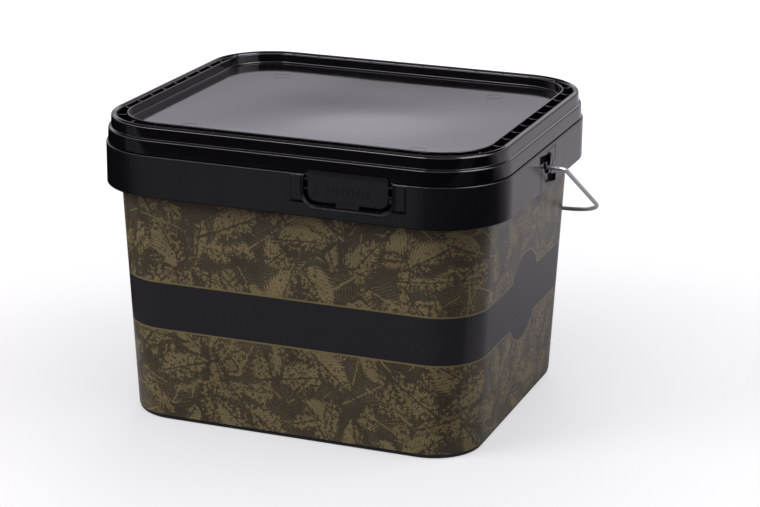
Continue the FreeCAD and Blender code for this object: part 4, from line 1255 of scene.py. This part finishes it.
def printed_film():
    """Satin film with the leaf print, the band, the disc and the lines round them."""
    finish = Finish("leaf_print")
    finish.set(Specular_IOR_Level=FILM_GLOSS)
    map_spot = finish.node("UVMap", uv_map="wrap").outputs[0]
    place = finish.node("Mapping", {"Vector": map_spot, "Scale": (1 / MM, 1 / MM, 0)}).outputs[0]
    scale, detail, roughness = WOBBLE_NOISE
    inputs = {"Vector": place, "Scale": scale, "Detail": detail, "Roughness": roughness}
    wobble = finish.node("TexNoise", inputs).outputs["Color"]
    shake = finish.vector("SUBTRACT", wobble, (0.5, 0.5, 0.5))
    shaken = finish.vector("ADD", place, finish.vector("MULTIPLY", shake, (WOBBLE, WOBBLE, 0.0)))
    specks = finish.math("SUBTRACT", finish.noise(place, *SPECK_NOISE), 0.5)
    ink = finish.range(specks, *LOOSE_SPECKS, 0.0, 1.0)
    for scatter in SCATTERS:
        leaf_ink, cover = ink_leaves(finish, shaken, specks, *scatter)
        ink = finish.math("MULTIPLY_ADD", cover, finish.math("SUBTRACT", leaf_ink, ink), ink)
    shade = finish.range(finish.noise(place, PATCH_SCALE, 2.0), *PATCH_SPREAD, 0.0, 1.0)
    khaki = finish.mix(shade, KHAKI, KHAKI_WORN)
    brown = finish.mix(shade, BROWN, BROWN_DEEP)
    print_colour = finish.mix(ink, brown, khaki)

    height = finish.node("SeparateXYZ", {"Vector": place}).outputs[1]
    from_middle = finish.math("ABSOLUTE", finish.math("SUBTRACT", height, BAND_MIDDLE))
    from_band = finish.math("SUBTRACT", from_middle, BAND_HALF)
    disc_spot = (wrap_way * DISC_SHARE, DISC_HEIGHT, 0)
    from_disc = finish.node("VectorMath", {0: place, 1: disc_spot}, operation="DISTANCE").outputs["Value"]
    outside = finish.math("MINIMUM", from_band, finish.math("SUBTRACT", from_disc, DISC_RADIUS))
    in_line = finish.range(outside, LINE_WIDTH, LINE_WIDTH - LINE_EDGE, 0.0, 1.0)
    in_band = finish.range(outside, 0.0, -LINE_EDGE, 0.0, 1.0)
    # Painted shade: the print turns charcoal where it runs behind the collar.
    in_shaded_margin = finish.range(height, SHADED_MARGIN_HEIGHT, SHADED_MARGIN_HEIGHT + LINE_WIDTH, 0.0, 1.0)
    print_colour = finish.mix(in_shaded_margin, print_colour, CHARCOAL)
    lined = finish.mix(in_line, print_colour, OLIVE_LINE)
    finish.drive("Base Color", finish.mix(in_band, lined, CHARCOAL))

    grain = finish.noise(place, FILM_GRAIN, 3.0)
    finish.drive("Roughness", finish.range(grain, *NOISE_SPREAD, *FILM_ROUGHNESS))
    finish.bump(grain, *FILM_BUMP)
    return finish


dress(print_wrap, "tub", printed_film(), ["label_wrap"])

# %% [markdown]
# The flap closes the opening in the collar. It is a plate with round lower corners. Its field is set back a
# little inside a border, by an inset, and a narrow band along its top leans back and catches the light.

# %% The flap's plate
flap_low, flap_high = (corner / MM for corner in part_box("tamper_flap"))
FIELD_BORDER = 1.3
FIELD_DEPTH = 0.4
TOP_BAND = 2.3
TOP_LEAN = 0.12
FLAP_ROUND = 0.6
flap_left, flap_right = FLAP_MIDDLE - FLAP_HALF, FLAP_MIDDLE + FLAP_HALF
field_face = flap_low.y + FIELD_DEPTH

flap_bm = bmesh.new()
add_tongue(flap_bm, flap_left, flap_right, FLAP_BOTTOM, flap_high.z, FLAP_CORNER, flap_low.y, flap_high.y)
bmesh.ops.bisect_plane(flap_bm, geom=flap_bm.verts[:] + flap_bm.edges[:] + flap_bm.faces[:],
                       plane_co=(0, 0, flap_high.z - TOP_BAND), plane_no=(0, 0, 1))
for vert in flap_bm.verts:
    if vert.co.z > flap_high.z - SAME_SPOT and vert.co.y < flap_low.y + SAME_SPOT:
        vert.co.y += TOP_LEAN
front_faces = [face for face in flap_bm.faces if face.calc_center_median().y < flap_low.y + TOP_LEAN]
front_face = max(front_faces, key=lambda face: face.calc_area())
outline_edges = [edge for edge in flap_bm.edges if sum(face in front_faces for face in edge.link_faces) == 1]
bmesh.ops.inset_region(flap_bm, faces=[front_face], thickness=FIELD_BORDER, depth=0.0)
bmesh.ops.translate(flap_bm, vec=(0, FIELD_DEPTH, 0), verts=front_face.verts)
soften(flap_bm, outline_edges, FLAP_ROUND, 3)
print("flap's field, mm:", round(flap_right - flap_left - 2 * FIELD_BORDER, 1), "wide")

# %% [markdown]
# The flap hangs on a thin strip at its foot and on four small bridges that tear the first time the bucket is
# opened. They are small blocks that reach a little into the plate. In the middle of the field is a row of
# grip ribs, and at each side an arrow head that points up: bars with a rounded front.
# None of these touches the collar, because the flap has to fold.

# %% The flap's bridges, ribs and arrow heads
HINGE_HALF = 8.3
HINGE_THICKNESS = 0.8
HINGE_BACK = 0.1
BRIDGE_HEIGHT = 1.2
BRIDGE_RISES = (8.3, 14.8)
BRIDGE_BACK = 0.2
BLOCK_ROOT = 0.5
GRIP_RIBS = 9
GRIP_PITCH = 3.6
GRIP_RIB = (0.8, 5.0)
GRIP_HEIGHT = 191.5
ARROW_SPOTS = (28.0, 74.5)
ARROW_HEIGHT = 188.6
ARROW_BAR = (0.7, 4.4)
ARROW_TILT = math.radians(38)
ARROW_LAP = 0.15
BAR_BACK = 0.04
BAR_ROOT = 0.2
BAR_ROUND = 0.22


def add_bar(bm, size, x, z, tilt=0.0):
    """A small raised bar on the flap's field, nearly flush with the flap's border."""
    half_x, half_z = size[0] / 2, size[1] / 2
    verts = add_block(bm, (-half_x, flap_low.y + BAR_BACK, -half_z), (half_x, field_face + BAR_ROOT, half_z))
    front = [vert for vert in verts if vert.co.y < field_face]
    edges = [edge for vert in front for edge in vert.link_edges if all(end in front for end in edge.verts)]
    rounded = bmesh.ops.bevel(bm, geom=unique(edges), offset=BAR_ROUND, offset_type="OFFSET", segments=2,
                              profile=0.5, affect="EDGES", material=-1)
    verts = [vert for vert in verts if vert.is_valid] + rounded["verts"]
    spot = Matrix.Translation((x, 0, z)) @ Matrix.Rotation(tilt, 4, "Y")
    bmesh.ops.transform(bm, matrix=spot, verts=unique(verts))


for side, tip_x in ((-1, flap_low.x), (1, flap_high.x)):
    edge_x = FLAP_MIDDLE + side * FLAP_HALF
    low_x, high_x = sorted((edge_x - side * BLOCK_ROOT, tip_x))
    for rise in BRIDGE_RISES:
        add_block(flap_bm, (low_x, flap_low.y + BRIDGE_BACK, FLAP_BOTTOM + rise),
                  (high_x, flap_high.y - BRIDGE_BACK, FLAP_BOTTOM + rise + BRIDGE_HEIGHT))
add_block(flap_bm, (FLAP_MIDDLE - HINGE_HALF, flap_low.y + HINGE_BACK, flap_low.z),
          (FLAP_MIDDLE + HINGE_HALF, flap_low.y + HINGE_THICKNESS, FLAP_BOTTOM + BLOCK_ROOT))
for index in range(GRIP_RIBS):
    add_bar(flap_bm, GRIP_RIB, FLAP_MIDDLE + GRIP_PITCH * (index - (GRIP_RIBS - 1) / 2), GRIP_HEIGHT)
reach = ARROW_BAR[1] / 2 * math.sin(ARROW_TILT) - ARROW_LAP
for spot in ARROW_SPOTS:
    for side in SIDES:
        add_bar(flap_bm, ARROW_BAR, spot + side * reach, ARROW_HEIGHT, -side * ARROW_TILT)
dress(to_object(flap_bm, "tear_flap"), "flap", tub_black, ["tamper_flap"])

# %% [markdown]
# The bail is one length of drawn steel wire. A circle is extruded out through the ear, spun round a tight
# bend, run down the side and spun round the wide corner, and the half is mirrored. Inside the ear the end is
# upset to a head. The bail is modelled flat and then turned to the angle at which it hangs.

# %% The bail's wire
WIRE_RADIUS = 1.6
WIRE_SIDES = 20
PIN_END = 142.7
HEAD_RADIUS = 2.8
HEAD_LENGTH = 1.4
HEAD_ROUND = 0.35
BEND_CENTRE = Vector((155.8, 6.6, 0))
BEND_STEPS = 14
CORNER_CENTRE = Vector((126.3, 110.9725, 0))
CORNER_RADIUS = 33.0
CORNER_STEPS_BAIL = 28
REST_ANGLE = math.radians(27.8869)
bend_radius = BEND_CENTRE.y
narrowing = BEND_CENTRE.x + bend_radius - CORNER_CENTRE.x - CORNER_RADIUS
lean = math.atan2(narrowing, CORNER_CENTRE.y - BEND_CENTRE.y)


def run_on(bm, edges, move):
    """Extrudes a loop of edges straight on."""
    grown = bmesh.ops.extrude_edge_only(bm, edges=edges)["geom"]
    verts = of_kind(grown, bmesh.types.BMVert)
    bmesh.ops.translate(bm, vec=move, verts=verts)
    return [edge for edge in of_kind(grown, bmesh.types.BMEdge) if set(edge.verts) <= set(verts)]


def turn_on(bm, edges, centre, angle, steps):
    """Spins a loop of edges round an upright axis."""
    spun = bmesh.ops.spin(bm, geom=edges, cent=centre, axis=(0, 0, 1), angle=angle, steps=steps)["geom_last"]
    return of_kind(spun, bmesh.types.BMEdge)


bm = bmesh.new()
circle = bmesh.ops.create_circle(bm, cap_ends=False, segments=WIRE_SIDES, radius=WIRE_RADIUS)["verts"]
along_x = Matrix.Translation((PIN_END, 0, 0)) @ Matrix.Rotation(math.pi / 2, 4, "Y")
bmesh.ops.transform(bm, matrix=along_x, verts=circle)
pin_loop = list(bm.edges)
arm_side = Vector((math.cos(lean), math.sin(lean), 0))
arm = CORNER_CENTRE + CORNER_RADIUS * arm_side - (BEND_CENTRE + bend_radius * arm_side)
loop = run_on(bm, pin_loop, (BEND_CENTRE.x - PIN_END, 0, 0))
loop = turn_on(bm, loop, BEND_CENTRE, math.pi / 2 + lean, BEND_STEPS)
loop = run_on(bm, loop, arm)
loop = turn_on(bm, loop, CORNER_CENTRE, math.pi / 2 - lean, CORNER_STEPS_BAIL)
run_on(bm, loop, (-CORNER_CENTRE.x, 0, 0))
head = run_on(bm, pin_loop, (0, 0, 0))
grow = HEAD_RADIUS / WIRE_RADIUS
bmesh.ops.scale(bm, vec=(1, grow, grow), verts=unique(vert for edge in head for vert in edge.verts))
head_end = run_on(bm, head, (-HEAD_LENGTH, 0, 0))
bmesh.ops.edgeloop_fill(bm, edges=head_end)
soften(bm, head + head_end, HEAD_ROUND, 2)
bmesh.ops.mirror(bm, geom=bm.verts[:] + bm.edges[:] + bm.faces[:], matrix=Matrix.Identity(4),
                 merge_dist=SAME_SPOT, axis="X")
bmesh.ops.remove_doubles(bm, verts=bm.verts, dist=SAME_SPOT)
hang = Matrix.Translation((0, 0, EAR_Z)) @ Matrix.Rotation(-REST_ANGLE, 4, "X")
bmesh.ops.transform(bm, matrix=hang, verts=bm.verts)
bail_rod = to_object(bm, "bail_rod")
print("bail's arms lean in by", round(math.degrees(lean), 2), "degrees")

# %% [markdown]
# The wire is zinc-plated: bright metal that is a little dull in spots, with fine marks left by drawing it.
# A slow noise makes the spots, in the colour, and a fine one the marks, in the roughness.

# %% The bail's steel
STEEL_BRIGHT = (0.60, 0.60, 0.62, 1.0)
STEEL_DULL = (0.50, 0.50, 0.52, 1.0)
STEEL_SPOTS = 90.0
SPOT_SPREAD = (0.35, 0.7)
STEEL_MARKS = 1200.0
STEEL_ROUGHNESS = (0.26, 0.36)


def drawn_steel():
    """Zinc-plated wire: bright, a little dull in spots, with fine drawing marks."""
    finish = Finish("bail_steel")
    finish.set(Metallic=0.9)
    spots = finish.noise(finish.object_place(), STEEL_SPOTS, 4.0)
    marks = finish.noise(finish.object_place(), STEEL_MARKS, 3.0)
    dullness = finish.range(spots, *SPOT_SPREAD, 0.0, 1.0)
    finish.drive("Base Color", finish.mix(dullness, STEEL_BRIGHT, STEEL_DULL))
    finish.drive("Roughness", finish.range(marks, *NOISE_SPREAD, *STEEL_ROUGHNESS))
    return finish


dress(bail_rod, "bail", drawn_steel(), ["bail_wire"])

# %% [markdown]
# The roller grip is a moulded sleeve that turns on the wire. It is out of sight in the picture, so it has the
# usual form of such a grip: a slim waist between two end flanges. Its profile is spun once round the wire.

# %% The roller grip
GRIP_RADIUS = 8.0
WAIST_RADIUS = 6.7
FLANGE_LENGTH = 4.0
BORE_RADIUS = 1.9
GRIP_SIDES = 48
GRIP_ROUND = 0.7
# An edge that bends by more than this, in radians, is one of the rims.
RIM_ANGLE = 1.0
GRIP_COLOUR = (0.012, 0.012, 0.013, 1.0)
GRIP_GRAIN = 1800.0
GRIP_ROUGHNESS = (0.42, 0.58)
GRIP_BUMP = (0.0003, 0.25)
grip_low, grip_high = (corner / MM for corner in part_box("bail_grip"))
half_grip = (grip_high.x - grip_low.x) / 2
waist_end = half_grip - FLANGE_LENGTH
left_half = [(-half_grip, BORE_RADIUS), (-half_grip, GRIP_RADIUS), (-waist_end, GRIP_RADIUS),
             (-waist_end, WAIST_RADIUS)]
profile = left_half + [(-x, radius) for x, radius in reversed(left_half)]
bm = bmesh.new()
points = [bm.verts.new((x, radius, 0)) for x, radius in profile]
lines = [bm.edges.new((here, there)) for here, there in zip(points, points[1:] + points[:1])]
bmesh.ops.spin(bm, geom=lines, cent=(0, 0, 0), axis=(1, 0, 0), angle=2 * math.pi, steps=GRIP_SIDES,
               use_merge=True)
bmesh.ops.remove_doubles(bm, verts=bm.verts, dist=SAME_SPOT)
bmesh.ops.recalc_face_normals(bm, faces=bm.faces)
rims = [edge for edge in bm.edges if len(edge.link_faces) == 2 and edge.calc_face_angle() > RIM_ANGLE]
soften(bm, rims, GRIP_ROUND, 4)
bmesh.ops.translate(bm, vec=(grip_low + grip_high) / 2, verts=bm.verts)


def matt_black():
    """Spark-eroded matt plastic with a fine grain."""
    finish = Finish("grip_black")
    finish.set(Base_Color=GRIP_COLOUR)
    grain = finish.noise(finish.object_place(), GRIP_GRAIN, 3.0)
    finish.drive("Roughness", finish.range(grain, *NOISE_SPREAD, *GRIP_ROUGHNESS))
    finish.bump(grain, *GRIP_BUMP)
    return finish


dress(to_object(bm, "roller_grip"), "grip", matt_black(), ["bail_grip"])
